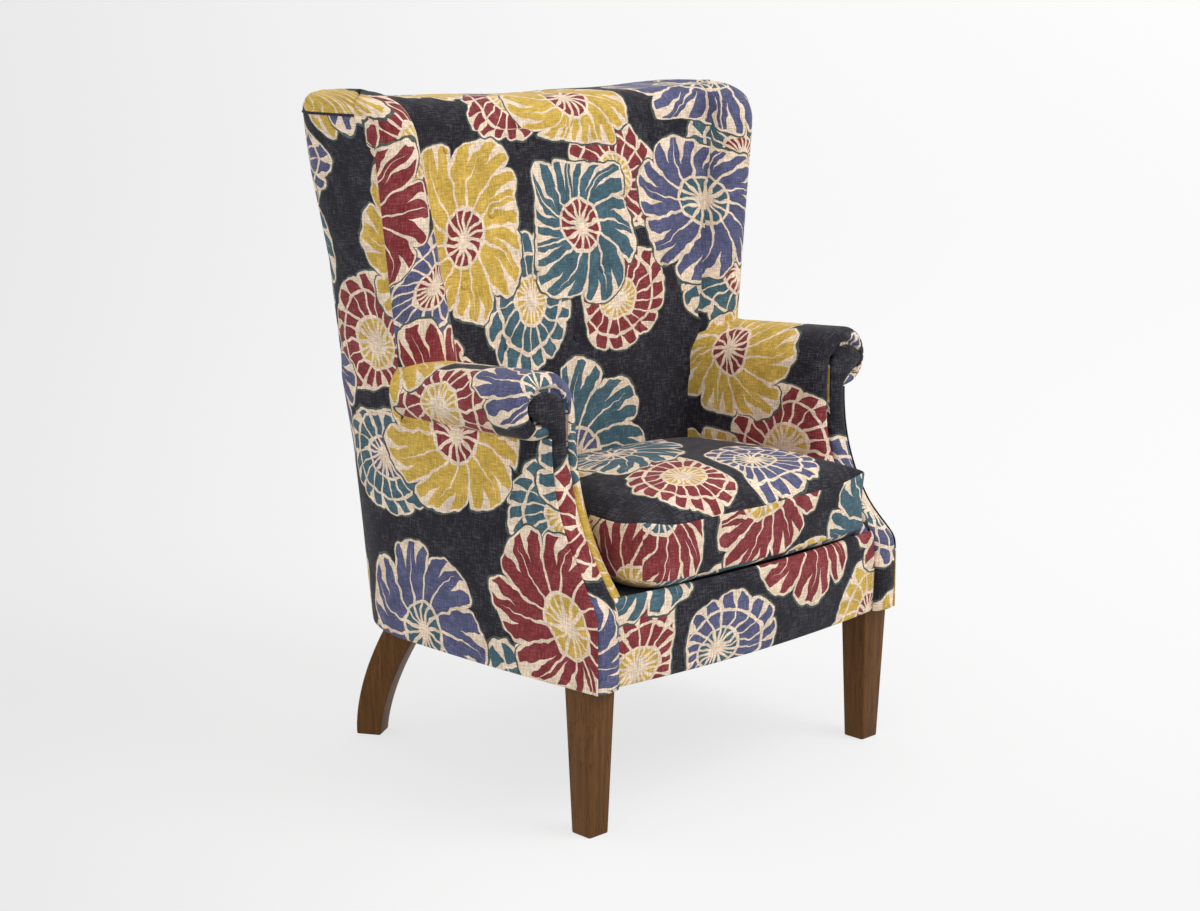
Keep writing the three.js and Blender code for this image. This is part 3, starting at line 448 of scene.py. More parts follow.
def printedLinen():
    material, tree, shader = newMaterial("printed linen")
    flat = addNode(tree, "UVMap", uv_map="cloth")
    place = flat
    for scale, amount in ((5.0, hand["bend"]), (38.0, hand["waver"])):
        wander = addNode(tree, "TexNoise", {"Vector": flat, "Scale": scale, "Detail": 1.0},
                         noise_dimensions="2D")
        centred = addNode(tree, "VectorMath", [wander.outputs["Color"], (0.5, 0.5, 0.5)],
                          operation="SUBTRACT")
        drift = addNode(tree, "VectorMath", {0: centred, "Scale": amount}, operation="SCALE")
        place = addNode(tree, "VectorMath", [place, drift], operation="ADD")
    colour = bloomLayer(tree, place, hexColour(inks["ground"]), blooms["lower"])
    colour = bloomLayer(tree, place, colour, blooms["upper"])

    # Threads are about 0.6 mm; drawn 2 mm wide and 14 mm long, as slubs, so that they show
    both = []
    for slub in ((560, 60, 1), (60, 560, 1)):
        drawn = addNode(tree, "Mapping", {"Vector": flat, "Scale": slub})
        both.append(addNode(tree, "TexNoise", {"Vector": drawn, "Scale": 1.0, "Detail": 1.0},
                            noise_dimensions="2D"))
    threads = addNode(tree, "Math", both, operation="ADD")
    patches = addNode(tree, "TexNoise", {"Vector": flat, "Scale": 30.0, "Detail": 3.0}, noise_dimensions="2D")
    cloudy = addNode(tree, "Math", [patches, 0.7, threads], operation="MULTIPLY_ADD")
    strength = addNode(tree, "MapRange", {0: cloudy, 1: 0.95, 2: 1.75, 3: 0.7, 4: 1.3})
    shaded = addNode(tree, "VectorMath", {0: colour, "Scale": strength}, operation="SCALE")
    bare = addNode(tree, "MapRange", {0: cloudy, 1: 1.35, 2: 1.8, 3: 0.0, 4: 0.045})
    worn = addNode(tree, "VectorMath", [shaded, bare], operation="ADD")
    setSurface(tree, shader, worn.outputs[0], threads, (0.35, 0.0006), {
        "Roughness": 0.9, "Specular IOR Level": 0.2, "Sheen Weight": 0.08, "Sheen Roughness": 0.5})
    return material


# Woods, by object coordinates, the grain upright: soft bands of tone and short dark pores. The stained
# oak is waxed and glows a little; the planed beech of the hidden frame is pale and dull.

def woodMaterial(name, light, dark, pore, roughness, gloss):
    material, tree, shader = newMaterial(name)
    spot = addNode(tree, "TexCoord").outputs["Object"]
    drawn = addNode(tree, "Mapping", {"Vector": spot, "Scale": (1, 1, 0.07)})
    bend = addNode(tree, "TexNoise", {"Vector": spot, "Scale": 6.0, "Detail": 1.0})
    bent = addNode(tree, "VectorMath", {0: bend.outputs["Color"], "Scale": 0.02}, operation="SCALE")
    along = addNode(tree, "VectorMath", [drawn, bent], operation="ADD")
    rings = addNode(tree, "TexNoise", {"Vector": along, "Scale": 130.0, "Detail": 4.0, "Roughness": 0.6})
    pores = addNode(tree, "TexNoise", {"Vector": along, "Scale": 620.0, "Detail": 1.0})
    grain = addNode(tree, "MapRange", {0: rings, 1: 0.34, 2: 0.68})
    tone = addNode(tree, "Mix", {0: grain, 6: hexColour(dark), 7: hexColour(light)}, data_type="RGBA")
    deep = addNode(tree, "MapRange", {0: pores, 1: 0.60, 2: 0.70, 3: 0.0, 4: 0.75})
    colour = addNode(tree, "Mix", {0: deep, 6: tone.outputs[2], 7: hexColour(pore)}, data_type="RGBA")
    setSurface(tree, shader, colour.outputs[2], pores, (0.12, 0.0004),
               {"Roughness": roughness, "Specular IOR Level": gloss})
    return material


# Plain cloths under the chair and the cushion, by object coordinates: dull, with threads in light and dark

def plainCloth(name, code, thread):
    material, tree, shader = newMaterial(name)
    spot = addNode(tree, "TexCoord").outputs["Object"]
    threads = addNode(tree, "TexNoise", {"Vector": spot, "Scale": 1 / thread, "Detail": 2.0})
    light = addNode(tree, "MapRange", {0: threads, 1: 0.3, 2: 0.7, 3: 0.7, 4: 1.25})
    shaded = addNode(tree, "VectorMath", {0: hexColour(code)[:3], "Scale": light}, operation="SCALE")
    setSurface(tree, shader, shaded.outputs[0], threads, (0.3, 0.0005), {"Roughness": 0.92})
    return material


linen = printedLinen()
oak = woodMaterial("stained oak, waxed", "704a21", "553514", "3a230d", 0.5, 0.2)
beech = woodMaterial("bare beech, planed", "d0b286", "b8966a", "a07e54", 0.65, 0.4)
jute = plainCloth("woven jute webbing", "a98d5e", 0.003)
cambric = plainCloth("black cambric, thin woven cotton", "1b1a1c", 0.0015)
deckCloth = plainCloth("plain charcoal linen", "2b2a32", 0.002)
print("materials made")

# The webbing, the dust cover and the hidden frame keep their solids, each in its own material

for nodeName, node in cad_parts.items():
    if nodeName.startswith("seat_web"):
        finish = jute
    elif nodeName == "dust_cover":
        finish = cambric
    else:
        finish = beech
    node.data.materials.clear()
    node.data.materials.append(finish)

# Camera and light

view = {"from": (-2.3594, -2.4046, 1.1775), "to": (0.0, 0.0261, 0.4618), "lens": 66.0, "sensor": 36.0}
camera = bpy.data.objects.new("camera", bpy.data.cameras.new("camera"))
bpy.context.scene.collection.objects.link(camera)
camera.location = view["from"]
look = Vector(view["to"]) - Vector(view["from"])
camera.rotation_euler = look.to_track_quat("-Z", "Y").to_euler()
camera.data.lens = view["lens"]
camera.data.sensor_width = view["sensor"]
bpy.context.scene.camera = camera
bpy.context.scene.view_settings.view_transform = "Standard"

lampAim = Vector((0, 0, 0.5))
lamps = {  # place, size in metres, watts
    "key": ((1.5, -3.2, 4.4), 2.6, 101.0),
    "fill": ((-3.7, -2.0, 1.6), 3.0, 22.0),
}
for lampName, (place, size, watts) in lamps.items():
    lamp = bpy.data.lights.new(lampName, "AREA")
    lamp.size = size
    lamp.energy = watts
    holder = bpy.data.objects.new(lampName, lamp)
    holder.location = place
    holder.rotation_euler = (lampAim - Vector(place)).to_track_quat("-Z", "Y").to_euler()
    bpy.context.scene.collection.objects.link(holder)

# the backdrop's tones of the painted light falloff from left to right, the painted near shade, and the
# floor's glow and shadow
backdrop = {
    "left": "ebebeb", "middle": "f9f9f9", "right": "ffffff", "span": 0.27, "sky": 0.8,
    "nearShadeFrom": 0.4, "nearShadeLeft": -0.1, "nearShadeRight": -0.36,
    "floorGlow": 0.785, "floorShade": 0.25, "floorPlain": "cfcfcf", "floorReach": 3000.0,
}


def paintedFalloffTone(tree, direction):
    # painted light falloff: grey at the picture's left, white at its right, by the heading from the camera's
    # place, as the light comes from the right
    rightWards = (look.y, -look.x, 0)
    heading = addNode(tree, "VectorMath", [direction], operation="NORMALIZE")
    aside = addNode(tree, "VectorMath", [heading, Vector(rightWards).normalized()], operation="DOT_PRODUCT")
    share = addNode(tree, "MapRange", {0: aside.outputs["Value"], 1: -backdrop["span"], 2: backdrop["span"]})
    ramp = addNode(tree, "ValToRGB", [share])
    ramp.color_ramp.elements.new(0.5)
    for stop, name in zip(ramp.color_ramp.elements, ("left", "middle", "right")):
        stop.color = hexColour(backdrop[name])
    return ramp.outputs[0], share


def seenDirect(tree):  # 1 for rays from the camera, mirrors and glass
    rays = addNode(tree, "LightPath").outputs
    direct = addNode(tree, "Math", [rays["Is Camera Ray"], rays["Is Glossy Ray"]], operation="MAXIMUM")
    return addNode(tree, "Math", [direct, rays["Is Transmission Ray"]], operation="MAXIMUM")


world = bpy.data.worlds.new("studio")
world.use_nodes = True
bpy.context.scene.world = world
sky = world.node_tree
# the world seen directly shows the same painted light falloff from grey to white
skyTone, skyShare = paintedFalloffTone(sky, addNode(sky, "TexCoord").outputs["Generated"])
shown = addNode(sky, "Background", {"Color": skyTone})
lit = addNode(sky, "Background", {"Color": (1, 1, 1, 1), "Strength": backdrop["sky"]})
both = addNode(sky, "MixShader", [seenDirect(sky), lit, shown])
sky.links.new(both.outputs[0], sky.nodes["World Output"].inputs[0])

# The floor glows to the camera in the backdrop's tone, with its painted light falloff and painted near shade,
# and a part of it is plain matt that takes the shadow
floorMaterial, tree, shader = newMaterial("white studio floor")
under = (view["from"][0], view["from"][1], 0)
spot = addNode(tree, "VectorMath", [addNode(tree, "TexCoord").outputs["Object"], under], operation="SUBTRACT")
tone, share = paintedFalloffTone(tree, spot)
# painted shade: towards the camera the floor's tone is darkened a little, most at the right
distance = addNode(tree, "VectorMath", [spot], operation="LENGTH").outputs["Value"]
nearness = addNode(tree, "Math", [1.0, distance], operation="DIVIDE")
rightHalf = addNode(tree, "MapRange", {0: share, 1: backdrop["nearShadeFrom"], 2: 1.0,
                                       3: backdrop["nearShadeLeft"], 4: backdrop["nearShadeRight"]})
paintedNearShade = addNode(tree, "Math", [nearness, rightHalf, 1.0], operation="MULTIPLY_ADD")
tone = addNode(tree, "VectorMath", {0: tone, "Scale": paintedNearShade}, operation="SCALE")
glow = addNode(tree, "Emission", {"Color": tone, "Strength": backdrop["floorGlow"]})
matt = addNode(tree, "VectorMath", {0: tone, "Scale": backdrop["floorShade"]}, operation="SCALE")
toEye = addNode(tree, "AddShader", [glow, addNode(tree, "BsdfDiffuse", {"Color": matt})])
plain = addNode(tree, "BsdfDiffuse", {"Color": hexColour(backdrop["floorPlain"])})
result = addNode(tree, "MixShader", [seenDirect(tree), plain, toEye])
tree.links.new(result.outputs[0], tree.nodes["Material Output"].inputs[0])
tree.nodes.remove(shader)
far = backdrop["floorReach"]
floorMesh = bpy.data.meshes.new("floor")
floorMesh.from_pydata([(-far, -far, 0), (far, -far, 0), (far, far, 0), (-far, far, 0)], [], [(0, 1, 2, 3)])
floorMesh.materials.append(floorMaterial)
floor = bpy.data.objects.new("floor", floorMesh)
bpy.context.scene.collection.objects.link(floor)
print("camera, light and floor made")

# Legs: square in section with eased edges, tapered in front, carried up a curve behind

leg = {
    "frontX": 303.5, "frontY": 18.5, "foot": 37, "top": 51,
    "rearX": 250, "rearY": 584, "rearFoot": 40, "rearTop": 62, "turn": 32, "sweep": 87, "power": 1.72,
    "edge": 2.2, "height": 221.7,
}


def legRings(z, side, x, y, turn):
    # each corner of the square is a small quarter circle of radius edge
    quarter = np.linspace(0, np.pi / 2, 5)
    angle = (np.arange(4)[:, None] * np.pi / 2 + quarter).ravel()
    sign = np.repeat([[1, 1], [-1, 1], [-1, -1], [1, -1]], 5, axis=0)
    inner = (side / 2 - leg["edge"])[:, None]
    u = inner * sign[:, 0] + leg["edge"] * np.cos(angle)
    v = inner * sign[:, 1] + leg["edge"] * np.sin(angle)
    px = x[:, None] + u * np.cos(turn) - v * np.sin(turn)
    py = y[:, None] + u * np.sin(turn) + v * np.cos(turn)
    return grid(px, py, z[:, None])


def makeLegs():
    share = np.concatenate([[0, 0.003], np.linspace(0.012, 1, 30)])
    z = share * leg["height"]
    footEdge = withEnds(len(z), (1.6, 0.5))  # the foot's edge is eased too
    side = mix(leg["foot"], leg["top"], share) - footEdge
    front = legRings(z, side, leg["frontX"] + 0 * z, leg["frontY"] + 0 * z, 0.0)
    turn = -math.radians(leg["turn"])
    lean = leg["sweep"] * share ** leg["power"]
    side = mix(leg["rearFoot"], leg["rearTop"], share) - footEdge
    rearX = leg["rearX"] - lean * math.sin(-turn)
    rear = legRings(z, side, rearX, leg["rearY"] - lean * math.cos(turn), turn)
    for sideName, side in sides.items():
        for legName, rings in (("front", front), ("rear", rear)):
            uv = grid(lengthsAlong(rings, 1), rings[..., 2])
            makeLoft(f"{legName}Leg_{sideName}", rings, uv, oak, "stained_oak", f"{legName}_leg_{sideName}",
                     side=side, sharp=35)


makeLegs()
print("legs made")

# Arm pads: a padded face that rounds over into a roll, carried along the swept front.
# The front edge is a quarter ellipse round to the facing, gathered into small pleats at the roll.

armPad = {
    "crestX": 317, "innerFront": 260, "innerRear": 232, "shoulderZ": 593, "swell": 4,
    "wall": 284, "railInner": 317, "railOuter": 352.3, "railBottom": 589.7, "railTop": 618.3,
    "wrap": 24, "wrapDepth": 19, "frontGap": 1.5, "mouth": 32, "lip": 28, "hollow": 80, "seamDip": 7,
    "pleats": 19, "pleatDepth": 2.4,
}


def armOutline(share, inset):
    # in section: a slightly swelling face, a quarter ellipse over the shoulder, a half circle round the roll
    a = armPad
    innerX = mix(a["innerFront"], a["innerRear"], share) + inset
    drop = armRoll["rearDrop"] * share
    size = rollRadius(share)
    top = armRoll["z"] + size - drop - inset
    shoulderZ = a["shoulderZ"] - drop
    t = np.linspace(0, 1, 44)
    face = [innerX - a["swell"] * np.sin(t * np.pi), mix(body["seatTop"], shoulderZ, t)]
    t = np.linspace(0, 1, 20)[1:] * np.pi / 2
    shoulder = [innerX + (a["crestX"] - innerX) * (1 - np.cos(t)), shoulderZ + (top - shoulderZ) * np.sin(t)]
    angle = np.pi / 2 - np.linspace(0, np.pi, 49)
    # pleats are narrow creases at even angles round the end of the roll
    roundEnd = np.sin(np.clip(inset / a["wrap"], 0, 1) * np.pi)
    radius = size - inset - np.maximum(0, np.cos(angle * a["pleats"])) ** 3 * a["pleatDepth"] * roundEnd
    roll = [armRoll["x"] + radius * np.cos(angle), armRoll["z"] - drop + radius * np.sin(angle)]
    under = armRoll["z"] - size - drop + np.minimum(inset, 20)
    # the hidden side steps round the arm's rail, then goes down the wall in short steps
    wall = np.maximum(a["wall"], innerX + 4)
    down = np.linspace(a["railTop"], body["seatTop"], 40)[None, :]
    railX = np.array([[a["railInner"], a["railInner"], a["railOuter"], a["railOuter"]]])
    railZ = np.array([[a["railBottom"], a["railBottom"], a["railTop"]]])
    return (joined(face[0], shoulder[0], roll[0], railX, wall + 0 * down),
            joined(face[1], shoulder[1], roll[1], under, railZ, down))


def makeArmPads():
    # rings from the front: a hollow mouth behind the facing, the round front edge, the arm, the wing's end
    a = armPad
    turn = np.linspace(np.pi / 2, 0, 16)
    arm = np.linspace(0, 1, 41)[1:]
    end = np.linspace(0, 1, 6)
    wrapEnd = 3 + len(turn) - 1
    endStart = wrapEnd + 1 + len(arm)
    straight = np.zeros(len(arm) + len(end))
    wrapIn = a["wrap"] * (1 - np.cos(turn))
    seamDip = a["seamDip"] * np.clip(wrapIn / a["wrap"] * 3 - 2, 0, 1) ** 2
    wrapY = a["wrapDepth"] * (1 - np.sin(turn)) + seamDip
    # behind the facing the pad is hollow, so that its inner end lies well behind the swept front
    inset = column([a["mouth"], a["mouth"], a["lip"]], wrapIn, straight)
    forward = column([a["hollow"], a["seamDip"], a["seamDip"]], wrapY, straight + a["wrapDepth"])
    along = column(np.zeros(wrapEnd + 1), arm, np.ones(len(end)))
    behind = column(np.zeros(endStart), end)
    wingLine = wing["noseY"] - 0.4
    middle = armFrontY(a["shoulderZ"])
    rear = padRearY(a["shoulderZ"])
    y = mix(middle + a["frontGap"] + forward, wingLine, along)
    share = (mix(y, rear, behind) - middle) / (rear - middle)
    x, z = armOutline(np.clip(share, 0, 1), inset)
    frontY = armFrontY(z) + a["frontGap"] + forward
    y = mix(mix(frontY, wingLine, along), padRearY(z), behind)
    place = np.arange(len(inset))[:, None]
    x = np.where(place >= endStart, np.minimum(x, outerHalf(z) - 4), x)
    rings = grid(x, y, z)
    walked = lengthsAlong(rings, 0)
    u = np.where(place < wrapEnd, y[wrapEnd] + walked - walked[wrapEnd], y)
    v = lengthsAlong(rings[wrapEnd:wrapEnd + 1], 1)
    for sideName, side in sides.items():
        uv = clothUv(clothAt["armPad"][side], u, v)
        piece = makeLoft(f"armPad_{sideName}", rings, uv, linen, "printed_linen", f"arm_pad_{sideName}",
                         side=side)


makeArmPads()
print("arm pads made")

# Arm facings: padded boards that follow the S and end in the scroll's comma-shaped head.
# Each level is a closed strip between the inner and outer edges, its front edges rounded.

facing = {
    "depth": 9, "edge": 6, "crown": 5, "headX": 325, "headZ": 596, "headRadius": 37, "headEnd": 22,
    "neckZ": 573, "neckX": 317, "neckOut": 20, "sideGap": 3.3,
    "innerZ": (216, 345, 358, 369, 380, 505, 553, 596),
    "innerX": (284.3, 284.3, 283.2, 281.7, 281, 281, 288, 288),
}


def facingEdges(z):
    f = facing
    drop = np.sqrt(np.clip(f["headRadius"] ** 2 - (z - f["headZ"]) ** 2, 0, None))
    inner = np.where(z > f["headZ"], f["headX"] - drop, np.interp(z, f["innerZ"], f["innerX"]))
    endX = f["headX"] + f["headRadius"] * math.cos(math.radians(f["headEnd"]))
    endZ = f["headZ"] + f["headRadius"] * math.sin(math.radians(f["headEnd"]))
    share = (z - f["neckZ"]) / (endZ - f["neckZ"])
    slope = mix(f["neckX"], endX, (ease(share) + np.clip(share, 0, 1)) / 2)
    low = np.minimum(frontHalfAt(z) - f["sideGap"], f["neckX"] + f["neckOut"])
    outer = np.where(z < f["neckZ"], low, slope)
    return inner, np.where(z > endZ, f["headX"] + drop, outer)


def makeFacings():
    f = facing
    foot = cover["bottom"]
    top = f["headZ"] + f["headRadius"]
    lift = np.linspace(0, np.pi / 2, 16)[1:]
    z = column([foot, foot + 0.6, foot + 2], np.linspace(foot + 5, f["headZ"], 90),
               f["headZ"] + f["headRadius"] * np.sin(lift))
    inner, outer = facingEdges(z)
    share = (1 - np.cos(np.linspace(0, np.pi, 25))) / 2
    x = mix(inner, outer, share)
    fromEdge = np.minimum(share, 1 - share) * (outer - inner)
    fromEdge = np.minimum(fromEdge, np.minimum(z - foot + 1, (top - z) * 1.6 + 0.2))
    near = np.clip(1 - fromEdge / f["edge"], 0, 1)
    rounding = f["edge"] * (1 - np.sqrt(1 - near ** 2))
    crown = f["crown"] * (1 - (2 * share - 1) ** 2)
    front = armFrontY(z)
    rings = shut(grid(x, front + rounding - crown, z), grid(x, front + f["depth"], z))
    up = lengthsAlong(grid(front, z), 0)
    for sideName, side in sides.items():
        uv = clothUv(clothAt["facing"][side], rings[..., 0], up)
        piece = makeLoft(f"armFacing_{sideName}", rings, uv, linen, "printed_linen", f"arm_facing_{sideName}",
                         side=side)


makeFacings()
print("arm facings made")

# Wing pads: a round nose that widens towards the arm, drawn over the top in a soft cap. Below the cap's
# seam the pad tucks in behind the outside cover; above it the cap is a full plan, drawn in on a quarter
# ellipse and domed. The cloth is pleated where the nose turns over the top.

wingPad = {
    "tuck": 4.5, "tuckDeep": 40, "dome": 2.5, "rise": {"left": 3, "right": 10}, "riseAt": 445, "riseLong": 75,
    "pleatY": 412, "pleat": 11, "pleatWide": 5, "gathers": 3.6, "gatherZ": 995, "gatherTall": 24,
}


def wingPlan(z, inset, tucked):
    w = wingPad
    r = noseRadius(z) - inset
    noseY = noseLineY(z)
    innerX = wingInnerX(z) + inset
    outerX = outerHalf(z) - inset
    # nose: half circle from the inner side round the front to the outer side
    a = np.linspace(np.pi, 2 * np.pi, 41)
    nose = [noseX(z) + r * np.cos(a), noseY + r * np.sin(a)]
    # cap: straight back along the outside, then round the rear corner
    centreX = outerHalf(z) - capCorner
    centreY = body["backY"] - capCorner
    r = capCorner - inset
    t = np.linspace(0, 1, 45)[1:]
    a = np.linspace(0, 1, 16)[1:] * np.arccos(np.clip((innerX - centreX) / r, 0, 1))
    cap = [joined(outerX + 0 * t, centreX + r * np.cos(a)),
           joined(mix(noseY, centreY, t), centreY + r * np.sin(a))]
    # below the seam: to the cover's edge, a step in, a short way back and across to the inside
    seamY = np.maximum(wingSeamY(z), noseY + 1)
    flush = np.linspace(0, 1, 13)[1:]
    behind = np.linspace(0, 1, 32)
    s = np.linspace(0, 1, 16)[1:]
    tuckX = outerX - w["tuck"]
    low = [joined(outerX + 0 * flush, tuckX + 0 * behind, mix(tuckX, innerX + 2, s)),
           joined(mix(noseY, seamY - 0.5, flush), seamY + 0.5 + w["tuckDeep"] * behind,
                  mix(seamY + w["tuckDeep"], padRearY(z), s))]
    rest = [np.where(tucked, lowPart, capPart) for lowPart, capPart in zip(low, cap)]
    s = np.linspace(0, 1, 14)[1:-1]
    inside = [innerX + 0 * s, mix(rest[1][:, -1:], noseY, s)]
    return grid(*[joined(*parts) for parts in zip(nose, rest, inside)], z)


def makeWingPads():
    w = wingPad
    seam, capRound = body["capSeam"], body["capRound"]
    low = np.concatenate([np.linspace(wing["bottom"], 920, 50), np.linspace(924, seam - 0.5, 40)])
    turn = np.linspace(0, np.pi / 2, 16)
    z = column(low, seam + capRound * np.sin(turn), [body["top"]] * 3)
    inset = column(0 * low, capRound * (1 - np.cos(turn)), capRound + np.array([3, 6, 8.5]))
    dome = column(0 * low, 0 * turn, w["dome"] * np.array([0.45, 0.8, 1]))
    tucked = np.arange(len(z))[:, None] < len(low)
    flat = wingPlan(z, 0 * z, tucked)
    # one deep pleat across the cap behind the nose, and small gathers over the nose
    place = np.arange(flat.shape[1])[None, :]
    onOuter = (place > 26) & (place < 85)
    fromPleat = np.abs(flat[..., 1] - w["pleatY"]) / w["pleatWide"]
    pleat = w["pleat"] * (np.exp(-fromPleat) - 0.25 * np.exp(-(fromPleat / 4) ** 2)) * onOuter
    pleat = pleat * np.clip((z - seam + 1) / 12, 0, 1) * ~tucked
    overNose = np.exp(-((place - 33) / 7) ** 2) * np.exp(-((z - w["gatherZ"]) / w["gatherTall"]) ** 2)
    gather = w["gathers"] * np.maximum(0, np.cos(place * 1.35)) ** 2 * overNose
    inwards = flat[..., :2] - grid(noseX(z), np.maximum(flat[..., 1], noseLineY(z)))
    away = inwards / np.maximum(np.linalg.norm(inwards, axis=-1, keepdims=True), 1)
    plan = wingPlan(z, inset, tucked)
    plan[..., :2] -= away * (pleat + gather)[..., None]
    hump = mix(0.45, 1, np.exp(-((plan[..., 1] - w["riseAt"]) / w["riseLong"]) ** 2))
    share = np.clip((z - seam) / capRound, 0, 1)
    # the cloth runs on from the back across the crease, then forward and round the nose
    radius, start, angle = creaseAt(z)
    touchY = np.maximum(backFrontY(z) - radius, noseLineY(z))
    rounded = start + radius * angle + touchY - noseRadius(z) * (np.pi / 2 - angle)
    for sideName, side in sides.items():
        rings = plan.copy()
        rings[..., 2] += w["rise"][sideName] * hump * share + dome
        rings[..., 2] -= pleat * 0.8 * share
        u = rounded - noseLineY(z) + lengthsAlong(rings, 1)
        u = np.where(place >= flat.shape[1] - 12, rounded - rings[..., 1], u)
        walked = lengthsAlong(rings, 0)
        v = seam + walked - walked[len(low)] - body["seatTop"]
        piece = makeLoft(f"wingPad_{sideName}", rings, clothUv(clothAt["back"], side * u, v), linen,
                         "printed_linen", f"wing_pad_{sideName}", side=side, sharp=60)


makeWingPads()
print("wing pads made")

# Rails along the wings' tops: plain bars whose front corner is taken off to lie inside the round nose

wingRail = {"wide": 29, "frontY": 351, "rearY": 482, "top": 1002.4, "depth": 32.5, "cover": 6}


def makeWingRails():
    w = wingRail
    z = np.linspace(w["top"] - w["depth"], w["top"], 8)[:, None]
    across = np.linspace(0, w["wide"], 9)[None, :]
    reach = np.minimum(across, noseRadius(z) - (w["cover"] + 1))
    nose = noseLineY(z) - np.sqrt((noseRadius(z) - w["cover"]) ** 2 - reach ** 2)
    x = noseX(z) + across
    rings = shut(grid(x, np.maximum(nose, w["frontY"]), z), grid(x, w["rearY"], z))
    for sideName, side in sides.items():
        makeLoft(f"wingTopRail_{sideName}", rings, rings[..., :2], beech, "beech_frame",
                 f"wing_top_rail_{sideName}", side=side, sharp=30)


makeWingRails()

# Inside back: one padded cover from the seat over the top, drawn in at the buttons.
# Across, it runs on a hollow curve into the arms and wings.

insideBack = {
    "topRound": 48, "dimple": 6.5, "dimpleWidth": 15, "pull": 2.4, "pullWidth": 42,
    "sag": 9, "sagMiddle": 20, "sagHalf": 330, "sagFrom": 930, "uneven": 0.9, "rearHalf": 248,
}
button = {"pitchX": 72.6, "rowLow": 644, "rowPitch": 100.4, "radius": 6.5, "height": 4.6, "proud": 0.6}
buttonSpots = [(c * button["pitchX"], button["rowLow"] + row * button["rowPitch"])
               for row in range(4) for c in ([-3, -1, 1, 3] if row % 2 else [-2, 0, 2])]


def topSag(x, z):  # the top edge hangs a little between the wings, and is slightly uneven
    b = insideBack
    hang = b["sag"] * (1 - np.clip(np.abs(x - b["sagMiddle"]) / b["sagHalf"], 0, 1) ** 2)
    return (hang + b["uneven"] * np.sin(x / 37 + 1)) * ease((z - b["sagFrom"]) / (body["top"] - b["sagFrom"]))


def insideBackY(x, z):  # the flat part, with a dimple and a wider pull round each button
    b = insideBack
    y = backFrontY(z) + 0 * x
    for spotX, spotZ in buttonSpots:
        d2 = (x - spotX) ** 2 + (z - spotZ) ** 2
        y = y + b["dimple"] * np.exp(-d2 / b["dimpleWidth"] ** 2)
        y = y + b["pull"] * np.exp(-d2 / b["pullWidth"] ** 2)
    return y


def halfBack(z):
    # from the middle to a side: flat, then a hollow curve, then a step into the wing; x, forward, length
    radius, start, angle = creaseAt(z)
    flat = np.linspace(0, 1, 71)[:, None] * start
    turned = np.linspace(0, 1, 16)[1:, None] * angle
    curveX = start + radius * np.sin(turned)
    curveY = radius * (1 - np.cos(turned))
    x = np.concatenate([flat, curveX, curveX[-1:] + crease["into"] * np.sin(angle)])
    forward = np.concatenate([0 * flat, curveY, curveY[-1:] - crease["into"] * np.cos(angle)])
    length = np.concatenate([flat, start + radius * turned, start + radius * angle + crease["into"]])
    return x, forward, length


def makeInsideBack():
    b = insideBack
    seatTop, top, capRound = body["seatTop"], body["top"], body["capRound"]
    topStart = top - b["topRound"]
    faceZ = np.linspace(seatTop, topStart, 190)[None, :]
    x, forward, length = [np.concatenate([sign * half[:0:-1], half])
                          for sign, half in zip((-1, 1, -1), halfBack(faceZ))]
    face = grid(x, insideBackY(x, faceZ) - forward, faceZ)
    # over the top on a quarter circle, where the ends of the rows run on into the wings' rounded caps
    t = np.linspace(0, np.pi / 2, 15)[None, 1:]
    overY = face[:, -1:, 1] + b["topRound"] * (1 - np.cos(t))
    overZ = topStart + b["topRound"] * np.sin(t)
    endShare = np.clip(np.abs(length[:, -1:]) - length[-17, -1], 0, None)
    endShare = (endShare / endShare.max()) ** 3
    into = np.sqrt(np.clip(capRound ** 2 - np.clip(overZ - body["capSeam"], 0, None) ** 2, 0, None))
    startX = x[:, -1:]
    overX = startX + np.sign(startX) * endShare * (capRound - into)
    endX = overX[:, -1:]
    # then flat to the rear roll, a quarter circle that follows the rounded rear corners
    t = np.linspace(0, np.pi / 2, 12)[None, :]
    past = np.clip(np.abs(endX) - (outerHalf(top) - capCorner), 0, None)
    inset = capRound * (1 - np.sin(t))
    behindY = body["backY"] - capCorner + np.sqrt((capCorner - inset) ** 2 - past ** 2)
    behindZ = top - capRound * (1 - np.cos(t))
    flatY = mix(overY[:, -1:], behindY[:, :1], np.linspace(0, 1, 10)[1:-1])
    # and down behind to close
    closeX = joined(startX, np.clip(startX, -b["rearHalf"], b["rearHalf"]))
    closeY = np.array([[padRearY(body["capSeam"]), padRearY(seatTop)]])
    closeZ = np.array([[body["capSeam"], seatTop]])
    over = grid(joined(overX, endX + 0 * flatY, endX + 0 * behindY, closeX),
                joined(overY, flatY, behindY, closeY),
                joined(overZ, top + 0 * flatY[:1], behindZ, closeZ))
    rings = np.concatenate([face, over], axis=1)
    rings[:, :-2, 2] -= topSag(rings[:, :-2, 0], rings[:, :-2, 2])
    v = lengthsAlong(rings[len(x) // 2][None], 1)
    v = np.where(v < topStart - seatTop, rings[..., 2] - seatTop, v)
    u = joined(length, length[:, -1:] + 0 * over[..., 0])
    uv = clothUv(clothAt["back"], u, v)
    piece = makeLoft("insideBack", rings, uv, linen, "printed_linen", "inside_back")


makeInsideBack()
print("inside back made")

# Covered buttons: flat domes pulled into the back, covered in the same cloth

